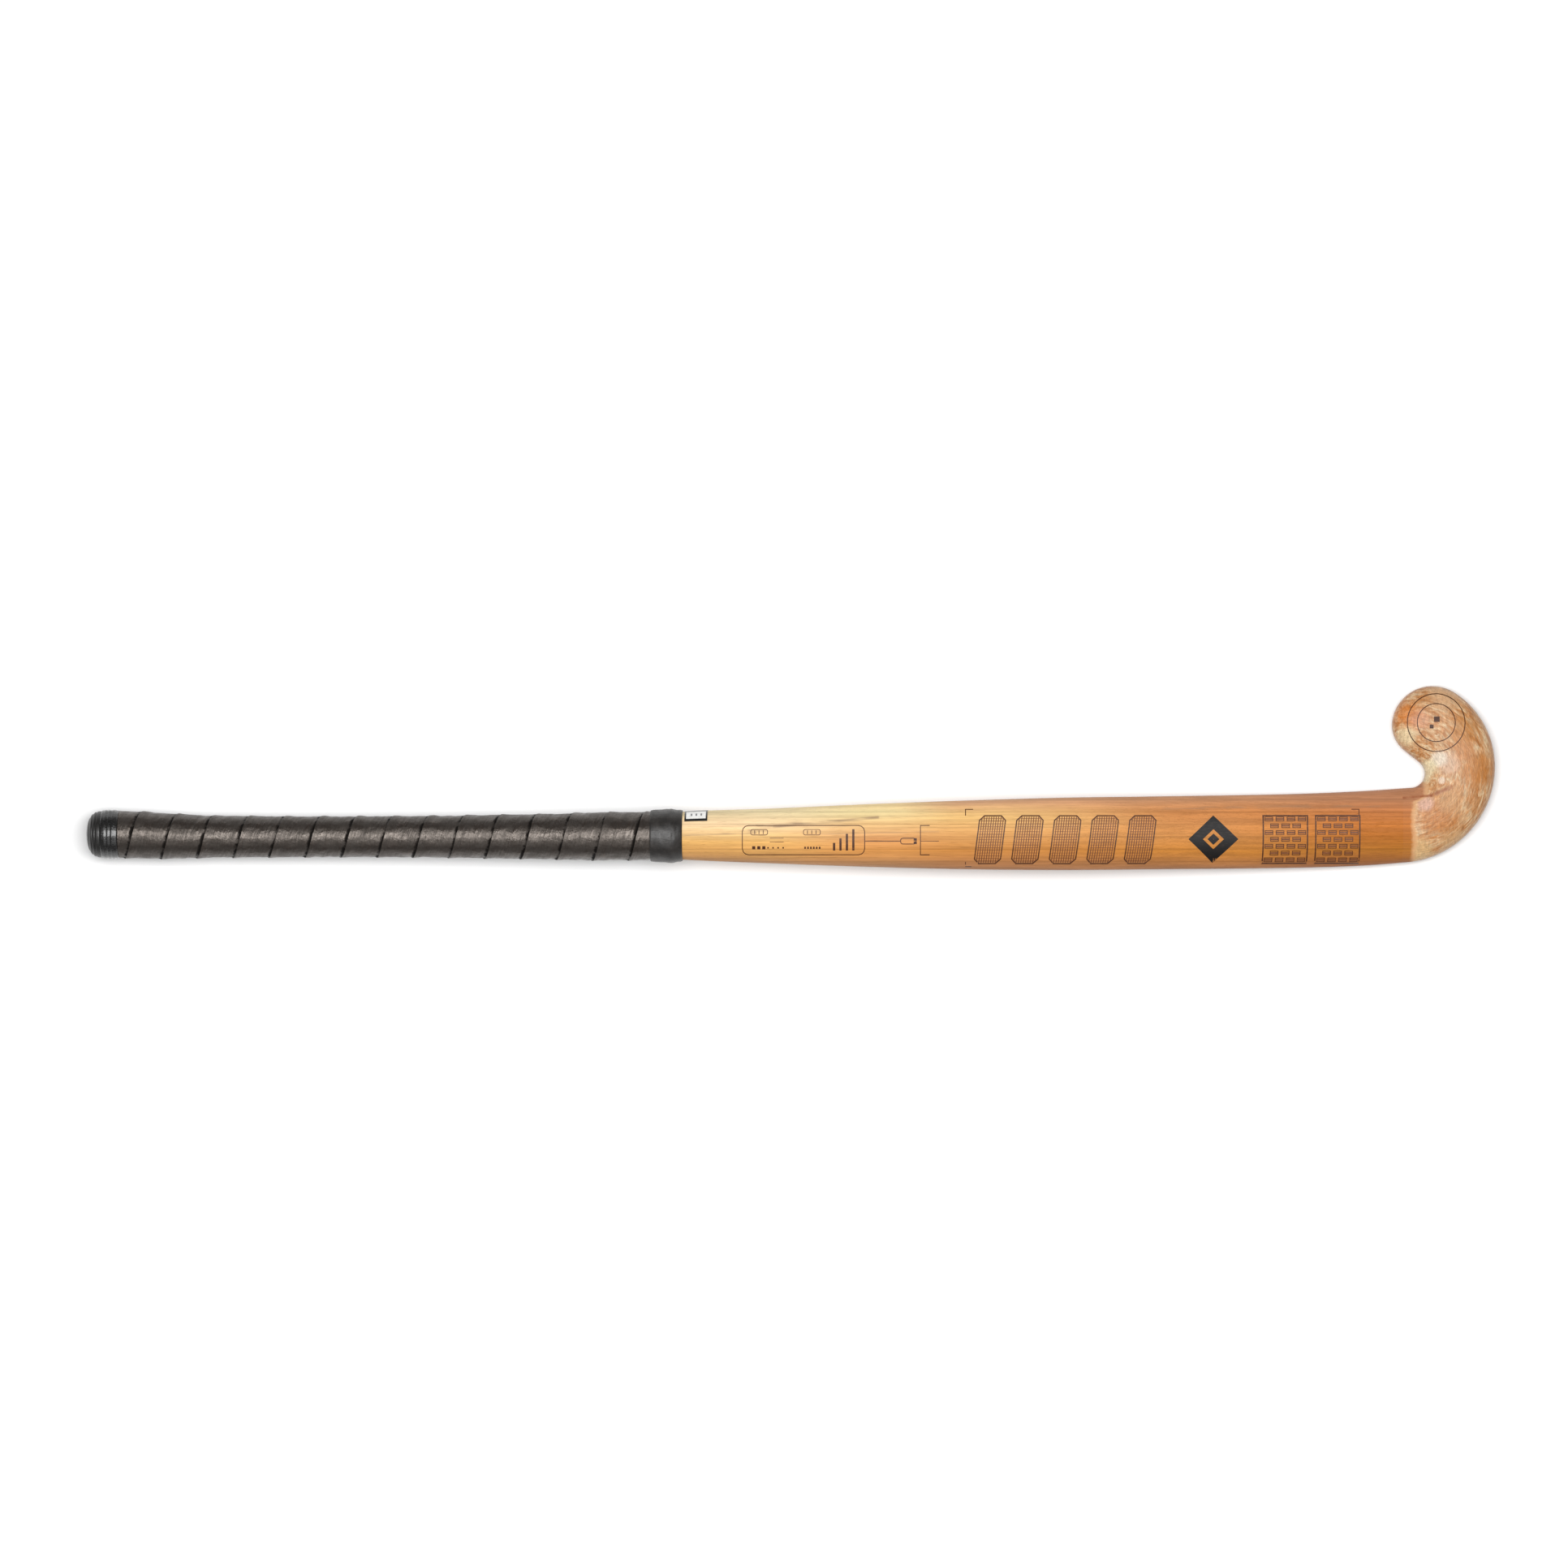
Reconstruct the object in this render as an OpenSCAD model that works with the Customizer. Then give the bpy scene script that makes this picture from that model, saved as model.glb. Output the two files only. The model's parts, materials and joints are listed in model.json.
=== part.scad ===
// Field hockey stick: a laminated hook head, a cane handle let into it with a V splice, a glass-fibre
// wrapped head, a wound grip and a rubber butt cap.
//
// The stick lies on its flat playing face. +X runs from the butt to the head, +Y towards the toe of
// the hook and +Z out of the rounded back. The origin is the bottom centre of the whole stick.
// Distances along the stick are measured from the butt, heights from the plane the stick lies on.

/* [Stick] */
// Overall length, from the butt to the outside of the hook
stick_length = 927; // [900:1:960]
// Height of the bow above the line from butt to head
bow_height = 20; // [10:1:25]
// Distance from the butt to the top of the bow
bow_at = 610; // [590:10:640]
// Length of the flat, level part of the head
level_head = 52; // [50:1:60]

/* [Blade] */
// Thickness of the blade at its widest part
blade_thickness = 22.5; // [20:0.5:25]
// Thickness of the head
head_thickness = 21; // [19:0.5:24]
// Height of the widest line of the blade above its flat face
equator_height = 6.5; // [5:0.5:8]
// Rounding of the two edges of the flat face
face_edge_round = 5; // [4:0.5:6]
// Thickness of one wood strip
lamination = 8.15; // [8:0.05:8.3]
// Fullness of the rounded back, 2 is an ellipse
back_fullness = 2.4; // [2:0.1:2.8]

/* [Hook] */
// Distance from the centre line of the handle to the centre of the inner bend
bend_offset = 41.4; // [41:0.1:42]
// Inner radius of the bend
bend_r = 9.35; // [9:0.05:10]
// Radius under the heel
heel_r = 63.5; // [63:0.1:64]
// Radius at the far side of the hook
back_r = 57.7; // [57.2:0.1:58.2]
// Radius over the top of the toe
crown_r = 26.7; // [26.4:0.1:27]
// Radius at the tip of the toe
toe_r = 21.4; // [21.2:0.1:21.6]
// Thickness of the glass-fibre skin
glass_skin = 0.5; // [0.3:0.1:0.8]

/* [Handle] */
// Where the wedge of the handle starts to narrow
splice_start = 205; // [195:5:215]
// Where the wedge of the handle ends in a point
splice_tip = 375; // [370:1:378]
// Thickness of one rubber strip
rubber_strip = 1.6; // [1:0.1:2]
// Thickness of one inner cane layer
cane_layer = 4.4; // [4:0.1:5]

/* [Grip] */
// Distance from the butt to the end of the grip
grip_end = 392; // [390:1:394]
// Advance of the grip ribbon in one turn
ribbon_pitch = 23.65; // [22:0.05:25]
// How far each turn lies over the one before
ribbon_lap = 5; // [3:0.5:6]
// Thickness of the grip ribbon
ribbon_thickness = 1.2; // [1:0.1:1.4]
// Thickness of the cushion under the ribbon
cushion = 0.5; // [0.4:0.1:0.6]
// Radius of the finishing band at the butt
band_r = 16.1; // [16:0.1:16.5]

/* [Hidden] */
LAMINATIONS = 6;
STRIPS_ABOVE_SPLICE = 4;
CANES = 4;

// ---- small helpers ----
function mix(a, b, f) = a + (b - a) * f;
function clamp(x, lo, hi) = max(lo, min(hi, x));
function ease(x) = let (f = clamp(x, 0, 1)) f * f * (3 - 2 * f);
function slope_of(t, i, c) =
    let (a = max(0, i - 1), b = min(len(t) - 1, i + 1))
    (t[b][c] - t[a][c]) / (t[b][0] - t[a][0]);
// Column c of a table of stations, on a smooth curve through every row
function curve(t, x, c) =
    let (i = max([for (k = [0:len(t) - 2]) if (k == 0 || x >= t[k][0]) k]),
         w = t[i + 1][0] - t[i][0],
         f = clamp((x - t[i][0]) / w, 0, 1),
         f2 = f * f,
         f3 = f2 * f)
    (2 * f3 - 3 * f2 + 1) * t[i][c] + (f3 - 2 * f2 + f) * w * slope_of(t, i, c)
    + (3 * f2 - 2 * f3) * t[i + 1][c] + (f3 - f2) * w * slope_of(t, i + 1, c);

// ---- the hook: a chain of arcs, each tangent to the next ----
// The inner bend's centre, and the centres of the outer arcs from the heel round to the toe
bend_to_end = 55.6;
back_offset = 46.2;
bend_centre = [stick_length - bend_to_end, bend_offset];
back_centre = [stick_length - back_r, back_offset];
heel_centre = back_centre - [heel_r - back_r, 0];
crown_turn = 57.8;
toe_turn = 169.3;
crown_centre = back_centre + (back_r - crown_r) * [cos(crown_turn), sin(crown_turn)];
toe_centre = crown_centre + (crown_r - toe_r) * [cos(toe_turn), sin(toe_turn)];
// Turn angles round the bend start at the shaft, towards the heel
function turn_dir(q) = [sin(q), -cos(q)];
function turn_of(p) = let (d = p - bend_centre) (atan2(d[1], d[0]) + 90 + 360) % 360;
toe_reach = norm(toe_centre - bend_centre);
toe_at = turn_of(toe_centre);
throat_at = toe_at - acos((bend_r + toe_r) / toe_reach);
throat_end = throat_at + atan(sqrt(pow(toe_reach, 2) - pow(bend_r + toe_r, 2)) / bend_r);
// Far side of a circle, seen from the bend's centre
function far_side(q, centre, r) =
    let (d = centre - bend_centre, along = d * turn_dir(q))
    along + sqrt(max(0, r * r - d * d + along * along));
// Radius of the hook's inside and outside at turn angle q, moved inwards by inset
function inside(q, inset) =
    let (d = toe_centre - bend_centre, along = d * turn_dir(q), r = toe_r - inset)
    q <= throat_at ? bend_r + inset
    : q <= throat_end ? (bend_r + inset) / cos(q - throat_at)
    : along - sqrt(max(0, r * r - d * d + along * along));
function outside(q, inset) =
    let (back_from = turn_of(back_centre + [back_r, 0]),
         crown_from = turn_of(back_centre + back_r * [cos(crown_turn), sin(crown_turn)]),
         toe_from = turn_of(crown_centre + crown_r * [cos(toe_turn), sin(toe_turn)]))
    q < back_from ? far_side(q, heel_centre, heel_r - inset)
    : q < crown_from ? far_side(q, back_centre, back_r - inset)
    : q < toe_from ? far_side(q, crown_centre, crown_r - inset)
    : far_side(q, toe_centre, toe_r - inset);

// ---- the shaft: its two edges and its thickness ----
bend_at = bend_centre[0];
function along_shaft(f) = mix(grip_end, bend_at, f);
grip_rebate = grip_end - 20;
// Where the wood starts to swell to its full width, under the end of the collar
grip_shoulder = grip_end - 5;
waist = 85;
// [distance from the butt, toe-side edge, heel-side edge, thickness]
SHAFT = [
    [0, 14.5, -11.5, 26],
    [24, 14.4, -11.5, 26],
    [50, 13, -12, 25],
    [waist, 11.2, -11.2, 22.4],
    [200, 10.9, -10.9, 21.8],
    [300, 12.3, -12.2, 24.4],
    [340, 13.5, -13, 25.5],
    [grip_rebate, 13.8, -12.7, 25.4],
    [grip_shoulder, 14.6, -13.6, 25.6],
    [grip_end, 16.4, -15, 26],
    [along_shaft(0.12), 18.5, -17.5, 25],
    [along_shaft(0.26), 21.5, -19.9, 23.8],
    [along_shaft(0.39), 23.8, -21.4, blade_thickness],
    [along_shaft(0.52), 25.6, -21.9, blade_thickness],
    [along_shaft(0.64), 26.4, -21.5, blade_thickness],
    [along_shaft(0.83), 27.9, -20.7, mix(blade_thickness, head_thickness, 0.5)],
    [along_shaft(0.93), 29.8, -19.3, mix(blade_thickness, head_thickness, 0.9)],
    [bend_at, bend_offset - bend_r, bend_offset - outside(0, 0), head_thickness]];

// ---- the bow: the handle runs straight to straight_end, then bends over to the top of the bow ----
straight_end = 330;
head_level_from = stick_length - level_head;
bow_top = bow_height + blade_thickness / 2;
band_from = 12;
handle_rise = (bow_top - band_r) / (bow_at - (bow_at - straight_end) / 2 - band_from);
function middle_height(u) =
    u <= straight_end ? bow_top - handle_rise * (bow_at - (bow_at - straight_end) / 2 - u)
    : u <= bow_at ? bow_top - handle_rise * pow(bow_at - u, 2) / (2 * (bow_at - straight_end))
    : face_height(u) + curve(SHAFT, u, 3) / 2;
function face_height(u) =
    let (f = clamp((u - bow_at) / (head_level_from - bow_at), 0, 1))
    bow_height * (1 + cos(180 * f)) / 2;
function tilt(u) =
    u <= straight_end ? atan(handle_rise)
    : u <= bow_at ? atan(handle_rise * (bow_at - u) / (bow_at - straight_end))
    : atan(face_height(u + 0.5) - face_height(u - 0.5));

// ---- stations: one cross-section each ----
// A section is round in the handle and has a flat face and a rounded back in the blade.
round_until = 300;
blade_from = 520;
function blade_share(u) = ease((u - round_until) / (blade_from - round_until));
// The wood is rebated under the glass skin, which starts at nothing, and a film of resin.
skin_ramp = 6;
wrap_from = bend_at - skin_ramp;
resin = 0.15;
function ramp(u) = clamp((u - wrap_from) / skin_ramp, 0, 1);
function rebate(u) = (glass_skin + resin) * ramp(u);
function section(centre, towards, split, half, full, inset, blade, lean, mid, crown, base) =
    let (equator = mix(full / 2, equator_height, blade))
    [centre, towards, split, half, full / 2, equator,
     (full - equator - inset) * crown, (equator - inset) * base,
     mix(2, back_fullness, blade), min(half, mix(half, face_edge_round, blade)), lean, mid];
function shaft_section(u, inset) =
    let (toe = curve(SHAFT, u, 1), heel = curve(SHAFT, u, 2))
    section([u, (toe + heel) / 2], [0, 1], (toe + heel) / 2, (toe - heel) / 2 - inset,
            curve(SHAFT, u, 3), inset, blade_share(u), tilt(u), middle_height(u), 1, 1);
// In the hook each section lies on a line through the bend's centre. Past the middle of the toe the
// back and the face close in towards the tip, as they do towards every other edge. At the tip itself
// a length below rounding counts as nothing.
rounding = 0.00001;
function hook_section(q, inset) =
    let (near = inside(q, inset), far = outside(q, inset), middle = (near + far) / 2,
         half = max(0, (far - near) / 2 - rounding),
         r = toe_r - inset,
         depth = q <= toe_at ? r : max(0, r - toe_reach * sin(q - toe_at) - rounding),
         crown = pow(1 - pow(1 - depth / r, back_fullness), 1 / back_fullness),
         base = sqrt(1 - pow(1 - min(1, depth / face_edge_round), 2)))
    section(bend_centre + middle * turn_dir(q), -turn_dir(q), bend_offset - middle, half,
            head_thickness, inset, 1, 0, head_thickness / 2, crown, base);
// Turn angles through the hook: even steps to the middle of the toe, then even steps round its tip
BEND_STEPS = 16;
TIP_STEPS = 8;
function hook_turn(k, inset) =
    k <= BEND_STEPS ? toe_at * k / BEND_STEPS
    : toe_at + asin((toe_r - inset) / toe_reach * sin(90 * (k - BEND_STEPS) / TIP_STEPS));

// Heights of the back and the face above the face plane, at y across the section
function back_at(s, y) =
    s[5] + s[6] * pow(1 - pow(min(1, abs(y) / max(s[3], 0.001)), s[8]), 1 / s[8]);
function face_at(s, y) =
    let (over = clamp((abs(y) - (s[3] - s[9])) / max(s[9], 0.001), 0, 1))
    s[5] - s[7] * sqrt(1 - over * over);
// Half the width of a handle section at height z above its middle
function width_at(s, z) = s[3] * sqrt(max(0, 1 - pow(z / s[4], 2)));
// A point of a section, from y across it and z above the face plane
function place(s, y, z) =
    let (up = z - s[4])
    [s[0][0] + s[1][0] * y - up * sin(s[10]), s[0][1] + s[1][1] * y, s[11] + up * cos(s[10])];
function round_point(s, angle) =
    let (y = s[3] * cos(angle))
    place(s, y, sin(angle) >= 0 ? back_at(s, y) : face_at(s, y));

// ---- solids made from rings of points ----
// Each ring runs anticlockwise, seen from the end that the rings run towards.
function wall_faces(rings, n, first, outward) =
    [for (k = [0:rings - 2]) for (j = [0:n - 1])
        let (a = first + k * n + j, b = first + k * n + (j + 1) % n, c = a + n, d = b + n)
        each outward ? [[a, d, b], [a, c, d]] : [[a, b, d], [a, d, c]]];
function end_faces(n, first, far_end) =
    [for (j = [1:n - 2])
        far_end ? [first, first + j + 1, first + j] : [first, first + j, first + j + 1]];
function flat_list(rings) = [for (r = rings) each r];
function total(vectors) = [for (v = vectors) 1] * vectors;
// Does a ring enclose any area, or has it closed to a line or a point?
function is_open(ring) =
    norm(total([for (j = [1:len(ring) - 2]) cross(ring[j] - ring[0], ring[j + 1] - ring[0])])) > 0.001;
// A solid bar through the rings, whose end rings may close to a line or a point
module bar(rings) {
    n = len(rings[0]);
    last = len(rings) - 1;
    polyhedron(flat_list(rings), concat(wall_faces(len(rings), n, 0, true),
        is_open(rings[0]) ? end_faces(n, 0, false) : [],
        is_open(rings[last]) ? end_faces(n, last * n, true) : []));
}
// A shell between outer and inner rings. Its far end is open unless the rings close to a point.
module shell(outer, inner, open_end = true) {
    n = len(outer[0]);
    rings = len(outer);
    inner_at = rings * n;
    last = (rings - 1) * n;
    near_rim = [for (j = [0:n - 1]) let (i = (j + 1) % n)
        each [[j, i, inner_at + i], [j, inner_at + i, inner_at + j]]];
    far_rim = [for (j = [0:n - 1]) let (a = last + j, b = last + (j + 1) % n)
        each [[a, inner_at + b, b], [a, inner_at + a, inner_at + b]]];
    polyhedron(concat(flat_list(outer), flat_list(inner)),
        concat(wall_faces(rings, n, 0, true), wall_faces(rings, n, inner_at, false),
            near_rim, open_end ? far_rim : []));
}

// ---- where the sections are ----
CAP_WALL = 8;
GRIP_FROM = 21.5;
function even_steps(a, b, steps) = [for (k = [0:steps - 1]) mix(a, b, k / steps)];
HANDLE_STATIONS = concat(even_steps(CAP_WALL, waist, 5), even_steps(waist, splice_start, 3));
SPLICE_STATIONS = even_steps(splice_start, splice_tip, 8);
BLADE_STATIONS = concat(even_steps(splice_tip, grip_end, 2), even_steps(grip_end, wrap_from, 18));

wood_sections = concat(
    [for (u = concat(SPLICE_STATIONS, BLADE_STATIONS)) shaft_section(u, 0)],
    [for (u = [wrap_from, wrap_from + skin_ramp / 2]) shaft_section(u, rebate(u))],
    [for (k = [0:BEND_STEPS + TIP_STEPS]) hook_section(hook_turn(k, rebate(bend_at)), rebate(bend_at))]);
handle_sections = [for (u = concat(HANDLE_STATIONS, SPLICE_STATIONS, [splice_tip])) shaft_section(u, 0)];

// Half the width of the handle's wedge, wider than the wood at its start and almost nothing at its tip
wedge_start = 12;
wedge_tip = 0.03;
function wedge(u) = max(wedge_tip, wedge_start * (splice_tip - u) / (splice_tip - splice_start));
function wedge_of(s) = s[0][0] <= splice_tip ? wedge(s[0][0]) : 0;

// ---- sub-parts ----
WOOD_ACROSS = 6;
// Further out than any edge of the stick
BEYOND = 1000;
// Wood strip i, counted from the toe side. The first four lie on the toe side of the splice.
module blade_lamination(i) {
    above = i <= STRIPS_ABOVE_SPLICE;
    top_line = i == 1 ? BEYOND : lamination * (STRIPS_ABOVE_SPLICE + 1 - i);
    low_line = i == LAMINATIONS ? -BEYOND : lamination * (STRIPS_ABOVE_SPLICE - i);
    spans = [for (s = wood_sections)
        let (slot = wedge_of(s),
             lo = above ? max(low_line, slot) : min(low_line, -slot),
             hi = above ? max(top_line, lo) : min(top_line, -slot))
        [clamp(lo - s[2], -s[3], s[3]), clamp(hi - s[2], -s[3], s[3])]];
    filled = [for (k = [0:len(spans) - 1]) if (spans[k][1] - spans[k][0] > 0.01) k];
    from = max(0, filled[0] - 1);
    to = min(len(spans) - 1, filled[len(filled) - 1] + 1);
    rings = [for (k = [from:to])
        let (s = wood_sections[k],
             across = [for (j = [0:WOOD_ACROSS])
                mix(spans[k][0], spans[k][1], (1 - cos(180 * j / WOOD_ACROSS)) / 2)])
        [for (y = across) place(s, y, face_at(s, y)),
         for (j = [0:WOOD_ACROSS]) let (y = across[WOOD_ACROSS - j]) place(s, y, back_at(s, y))]];
    color(i % 2 == 0 ? "sandybrown" : "burlywood") bar(rings);
}

// One flat layer of the handle, between two heights above its middle
module handle_layer(low, high, steps) {
    rings = [for (s = handle_sections)
        let (slot = wedge(s[0][0]),
             pole = 0.998 * s[4],
             heights = [for (j = [0:steps])
                mix(max(low, -pole), min(high, pole), (1 - cos(180 * j / steps)) / 2)])
        [for (z = heights)
            place(s, clamp(slot - s[2], -s[3], width_at(s, z)), z + s[4]),
         for (j = [0:steps])
            let (z = heights[steps - j])
            place(s, clamp(-slot - s[2], -width_at(s, z), s[3]), z + s[4])]];
    bar(rings);
}
function cane_low(i) = (i - 1 - CANES / 2) * (cane_layer + rubber_strip) + rubber_strip / 2;
module handle_cane(i) {
    outermost = i == 1 || i == CANES;
    low = i == 1 ? -BEYOND : cane_low(i);
    high = i == CANES ? BEYOND : cane_low(i) + cane_layer;
    color("wheat") handle_layer(low, high, outermost ? 5 : 2);
}
module handle_rubber(i) {
    color("dimgray") handle_layer(cane_low(i) + cane_layer, cane_low(i + 1), 1);
}

// Sleeves round the handle: [distance from the butt, inner gap, outer gap] above the wood
ROUND_STEPS = 20;
function skin_ring(u, gap) =
    [for (j = [0:ROUND_STEPS - 1]) round_point(shaft_section(u, -gap), 360 * j / ROUND_STEPS)];
module sleeve(rows) {
    shell([for (r = rows) skin_ring(r[0], r[2])], [for (r = rows) skin_ring(r[0], r[1])]);
}
film = 0.2;
twine = 0.4;
cushion_in = film + twine + 0.1;
ribbon_in = cushion_in + cushion + 0.12;
module splice_binding() {
    stations = concat(even_steps(splice_start - 15, grip_rebate, 8), [grip_rebate]);
    color("tan") sleeve([for (u = stations) [u, film, film + twine]]);
}
module grip_underwrap() {
    stations = concat(even_steps(GRIP_FROM, waist, 8), even_steps(waist, grip_rebate, 10),
        [grip_rebate, ribbon_to - 2]);
    color("gray") sleeve([for (u = stations) [u, cushion_in, cushion_in + cushion]]);
}

// The grip ribbon: a left-handed helix. Each turn's butt-side edge lies on the turn before it.
ribbon_to = grip_end - 6;
ribbon_edge = 0.5;
ribbon_gap = 0.1;
ribbon_width = ribbon_pitch + ribbon_lap;
ribbon_start_angle = -54;
function ribbon_under(x) =
    x < ribbon_lap ? mix(ribbon_thickness, ribbon_edge, x / ribbon_lap) + ribbon_gap : 0;
function ribbon_over(x) =
    let (ramp = ribbon_lap + 2, raised = ribbon_thickness + ribbon_gap + ribbon_edge)
    x < ramp ? mix(raised, ribbon_thickness, x / ramp)
    : x < ribbon_pitch ? ribbon_thickness
    : mix(ribbon_thickness, ribbon_edge, (x - ribbon_pitch) / ribbon_lap);
module grip_tape() {
    turns = (ribbon_to - GRIP_FROM + ribbon_width) / ribbon_pitch;
    above = [0, ribbon_lap + 2, ribbon_pitch, ribbon_width];
    below = [ribbon_width, ribbon_lap + 0.4, ribbon_lap - 0.001, 0];
    rings = [for (k = [0:floor(turns * ROUND_STEPS)])
        let (start = GRIP_FROM - ribbon_width + ribbon_pitch * k / ROUND_STEPS,
             angle = ribbon_start_angle - 360 * k / ROUND_STEPS,
             lo = max(0, GRIP_FROM - start),
             hi = min(ribbon_width, ribbon_to - start))
        if (hi - lo > 0.5)
        [for (a = above) let (x = clamp(a, lo, hi))
            round_point(shaft_section(start + x, -ribbon_in - ribbon_over(x)), angle),
         for (b = below) let (x = clamp(b, lo, hi))
            round_point(shaft_section(start + x, -ribbon_in - ribbon_under(x)), angle)]];
    color("#262422") bar(rings);
}
module grip_collar_tape() {
    over_grip = ribbon_in + ribbon_thickness + ribbon_gap + ribbon_edge + 0.15;
    rows = [[grip_rebate - 1, over_grip, over_grip + 0.5],
        [grip_rebate + 4, over_grip, over_grip + 0.8],
        [ribbon_to - 2, over_grip, over_grip + 0.8],
        [ribbon_to + 1, over_grip - 0.6, over_grip + 0.05],
        [grip_end, film, film + 0.5]];
    color("#1c1b1a") sleeve(rows);
}

// Round pieces at the butt, turned about the axis of the handle
module on_handle_axis() {
    rise = tilt(0);
    translate([0, (SHAFT[0][1] + SHAFT[0][2]) / 2, middle_height(0)])
        rotate([0, 90 - rise, 0])
            children();
}
DOME_LENGTH = 9.6;
dome_r = band_r - 0.9;
skirt_r = dome_r - 0.4;
cap_bore_r = 13.2;
// The end is blunter than a ball: a higher power squares it off
DOME_BLUNTNESS = 2.5;
function dome_radius(at) =
    dome_r * pow(1 - pow(1 - at / DOME_LENGTH, DOME_BLUNTNESS), 1 / DOME_BLUNTNESS);
module butt_cap() {
    skirt_end = 19.5;
    dome = [for (k = [0:12]) let (at = DOME_LENGTH * (1 - cos(90 * k / 12))) [dome_radius(at), at]];
    color("#161616") on_handle_axis() difference() {
        rotate_extrude($fn = 64)
            polygon(concat(dome, [[skirt_r, DOME_LENGTH], [skirt_r, skirt_end], [0, skirt_end]]));
        translate([0, 0, CAP_WALL - 0.2])
            cylinder(r = cap_bore_r, h = skirt_end, $fn = 64);
        for (at = [2.4, 4.4, 6.6])
            translate([0, 0, at])
                rotate_extrude($fn = 64)
                    translate([dome_radius(at) + 0.1, 0])
                        circle(r = 0.6, $fn = 16);
    }
}
module butt_tape() {
    inner = skirt_r + 0.05;
    shoulder = band_r - 0.6;
    profile = [[inner, DOME_LENGTH + 0.1], [shoulder, DOME_LENGTH + 0.1], [band_r, band_from],
        [band_r, band_from + 7.5], [shoulder, GRIP_FROM - 0.1], [inner, GRIP_FROM - 0.1]];
    color("#0c0c0c") on_handle_axis() rotate_extrude($fn = 64) polygon(profile);
}

module head_glass_wrap() {
    shaft_part = [wrap_from, wrap_from + skin_ramp / 2];
    outer = concat([for (u = shaft_part) shaft_section(u, 0)],
        [for (k = [0:BEND_STEPS + TIP_STEPS]) hook_section(hook_turn(k, 0), 0)]);
    inner = concat([for (u = shaft_part) shaft_section(u, glass_skin * ramp(u))],
        [for (k = [0:BEND_STEPS + TIP_STEPS]) hook_section(hook_turn(k, glass_skin), glass_skin)]);
    steps = 32;
    function ring(s) = [for (j = [0:steps - 1]) round_point(s, 360 * j / steps)];
    color("navajowhite")
        shell([for (s = outer) ring(s)], [for (s = inner) ring(s)], open_end = false);
}

// The sticker lies over the toe-side edge, just past the collar
module size_label() {
    label_from = grip_end + 1.5;
    label_to = label_from + 15;
    across = 12;
    glue = 0.08;
    sticker = 0.25;
    rings = [for (j = [0:across]) let (angle = mix(-28, 54, j / across))
        [for (corner = [[label_from, 0], [label_to, 0], [label_to, sticker], [label_from, sticker]])
            round_point(shaft_section(corner[0], -glue - corner[1]), angle)]];
    color("white") bar(rings);
}

// ---- the whole stick, moved so that its bottom centre is the origin ----
lowest_edge = min([for (r = SHAFT) r[2]]);
module stick() {
    translate([-stick_length / 2, -(crown_centre[1] + crown_r + lowest_edge) / 2, 0])
        children();
}
for (i = [1:LAMINATIONS])
    stick() blade_lamination(i);
for (i = [1:CANES])
    stick() handle_cane(i);
for (i = [1:CANES - 1])
    stick() handle_rubber(i);
stick() splice_binding();
stick() head_glass_wrap();
stick() grip_underwrap();
stick() grip_tape();
stick() grip_collar_tape();
stick() butt_cap();
stick() butt_tape();
stick() size_label();
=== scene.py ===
"""Field hockey stick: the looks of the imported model, lying playing face down on a pale floor."""

import json
import math
from collections import namedtuple

import bpy
import numpy as np
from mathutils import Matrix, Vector, noise


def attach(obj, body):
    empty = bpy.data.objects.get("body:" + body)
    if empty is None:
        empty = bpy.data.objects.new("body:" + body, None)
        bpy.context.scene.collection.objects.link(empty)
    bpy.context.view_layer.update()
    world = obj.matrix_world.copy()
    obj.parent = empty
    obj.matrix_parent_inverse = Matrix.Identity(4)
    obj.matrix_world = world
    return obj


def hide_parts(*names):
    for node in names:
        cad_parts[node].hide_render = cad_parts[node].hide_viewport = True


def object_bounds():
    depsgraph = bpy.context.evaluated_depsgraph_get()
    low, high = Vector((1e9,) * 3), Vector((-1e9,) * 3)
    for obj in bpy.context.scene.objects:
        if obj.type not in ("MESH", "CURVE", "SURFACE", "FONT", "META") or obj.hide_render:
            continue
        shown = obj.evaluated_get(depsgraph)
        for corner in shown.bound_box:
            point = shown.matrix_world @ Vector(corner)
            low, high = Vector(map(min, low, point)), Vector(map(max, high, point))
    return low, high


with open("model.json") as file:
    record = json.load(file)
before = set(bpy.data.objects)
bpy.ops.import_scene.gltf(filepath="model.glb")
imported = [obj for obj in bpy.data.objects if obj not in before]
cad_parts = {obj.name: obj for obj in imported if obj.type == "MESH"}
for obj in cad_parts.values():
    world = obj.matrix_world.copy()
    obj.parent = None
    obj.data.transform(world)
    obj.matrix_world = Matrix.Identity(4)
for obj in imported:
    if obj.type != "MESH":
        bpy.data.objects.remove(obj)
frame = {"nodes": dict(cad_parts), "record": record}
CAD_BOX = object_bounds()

# ---- the stick's dimensions in millimetres, the same as in the CAD model ----
STICK_LENGTH = 927
BOW_HEIGHT = 20
BOW_AT = 610
LEVEL_HEAD = 52
BLADE_THICKNESS = 22.5
HEAD_THICKNESS = 21
EQUATOR_HEIGHT = 6.5
FACE_EDGE_ROUND = 5
LAMINATION = 8.15
LAMINATIONS = 6
STRIPS_ABOVE_SPLICE = 4
BACK_FULLNESS = 2.4
BEND_OFFSET = 41.4
BEND_TO_END = 55.6
BEND_R = 9.35
HEEL_R = 63.5
BACK_R = 57.7
BACK_OFFSET = 46.2
CROWN_R = 26.7
CROWN_TURN = 57.8
TOE_R = 21.4
TOE_TURN = 169.3
GLASS_SKIN = 0.5
RESIN = 0.15
SKIN_RAMP = 6
SPLICE_START = 205
SPLICE_TIP = 375
WEDGE_START = 12
WEDGE_TIP = 0.03
GRIP_FROM = 21.5
GRIP_END = 392
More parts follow.
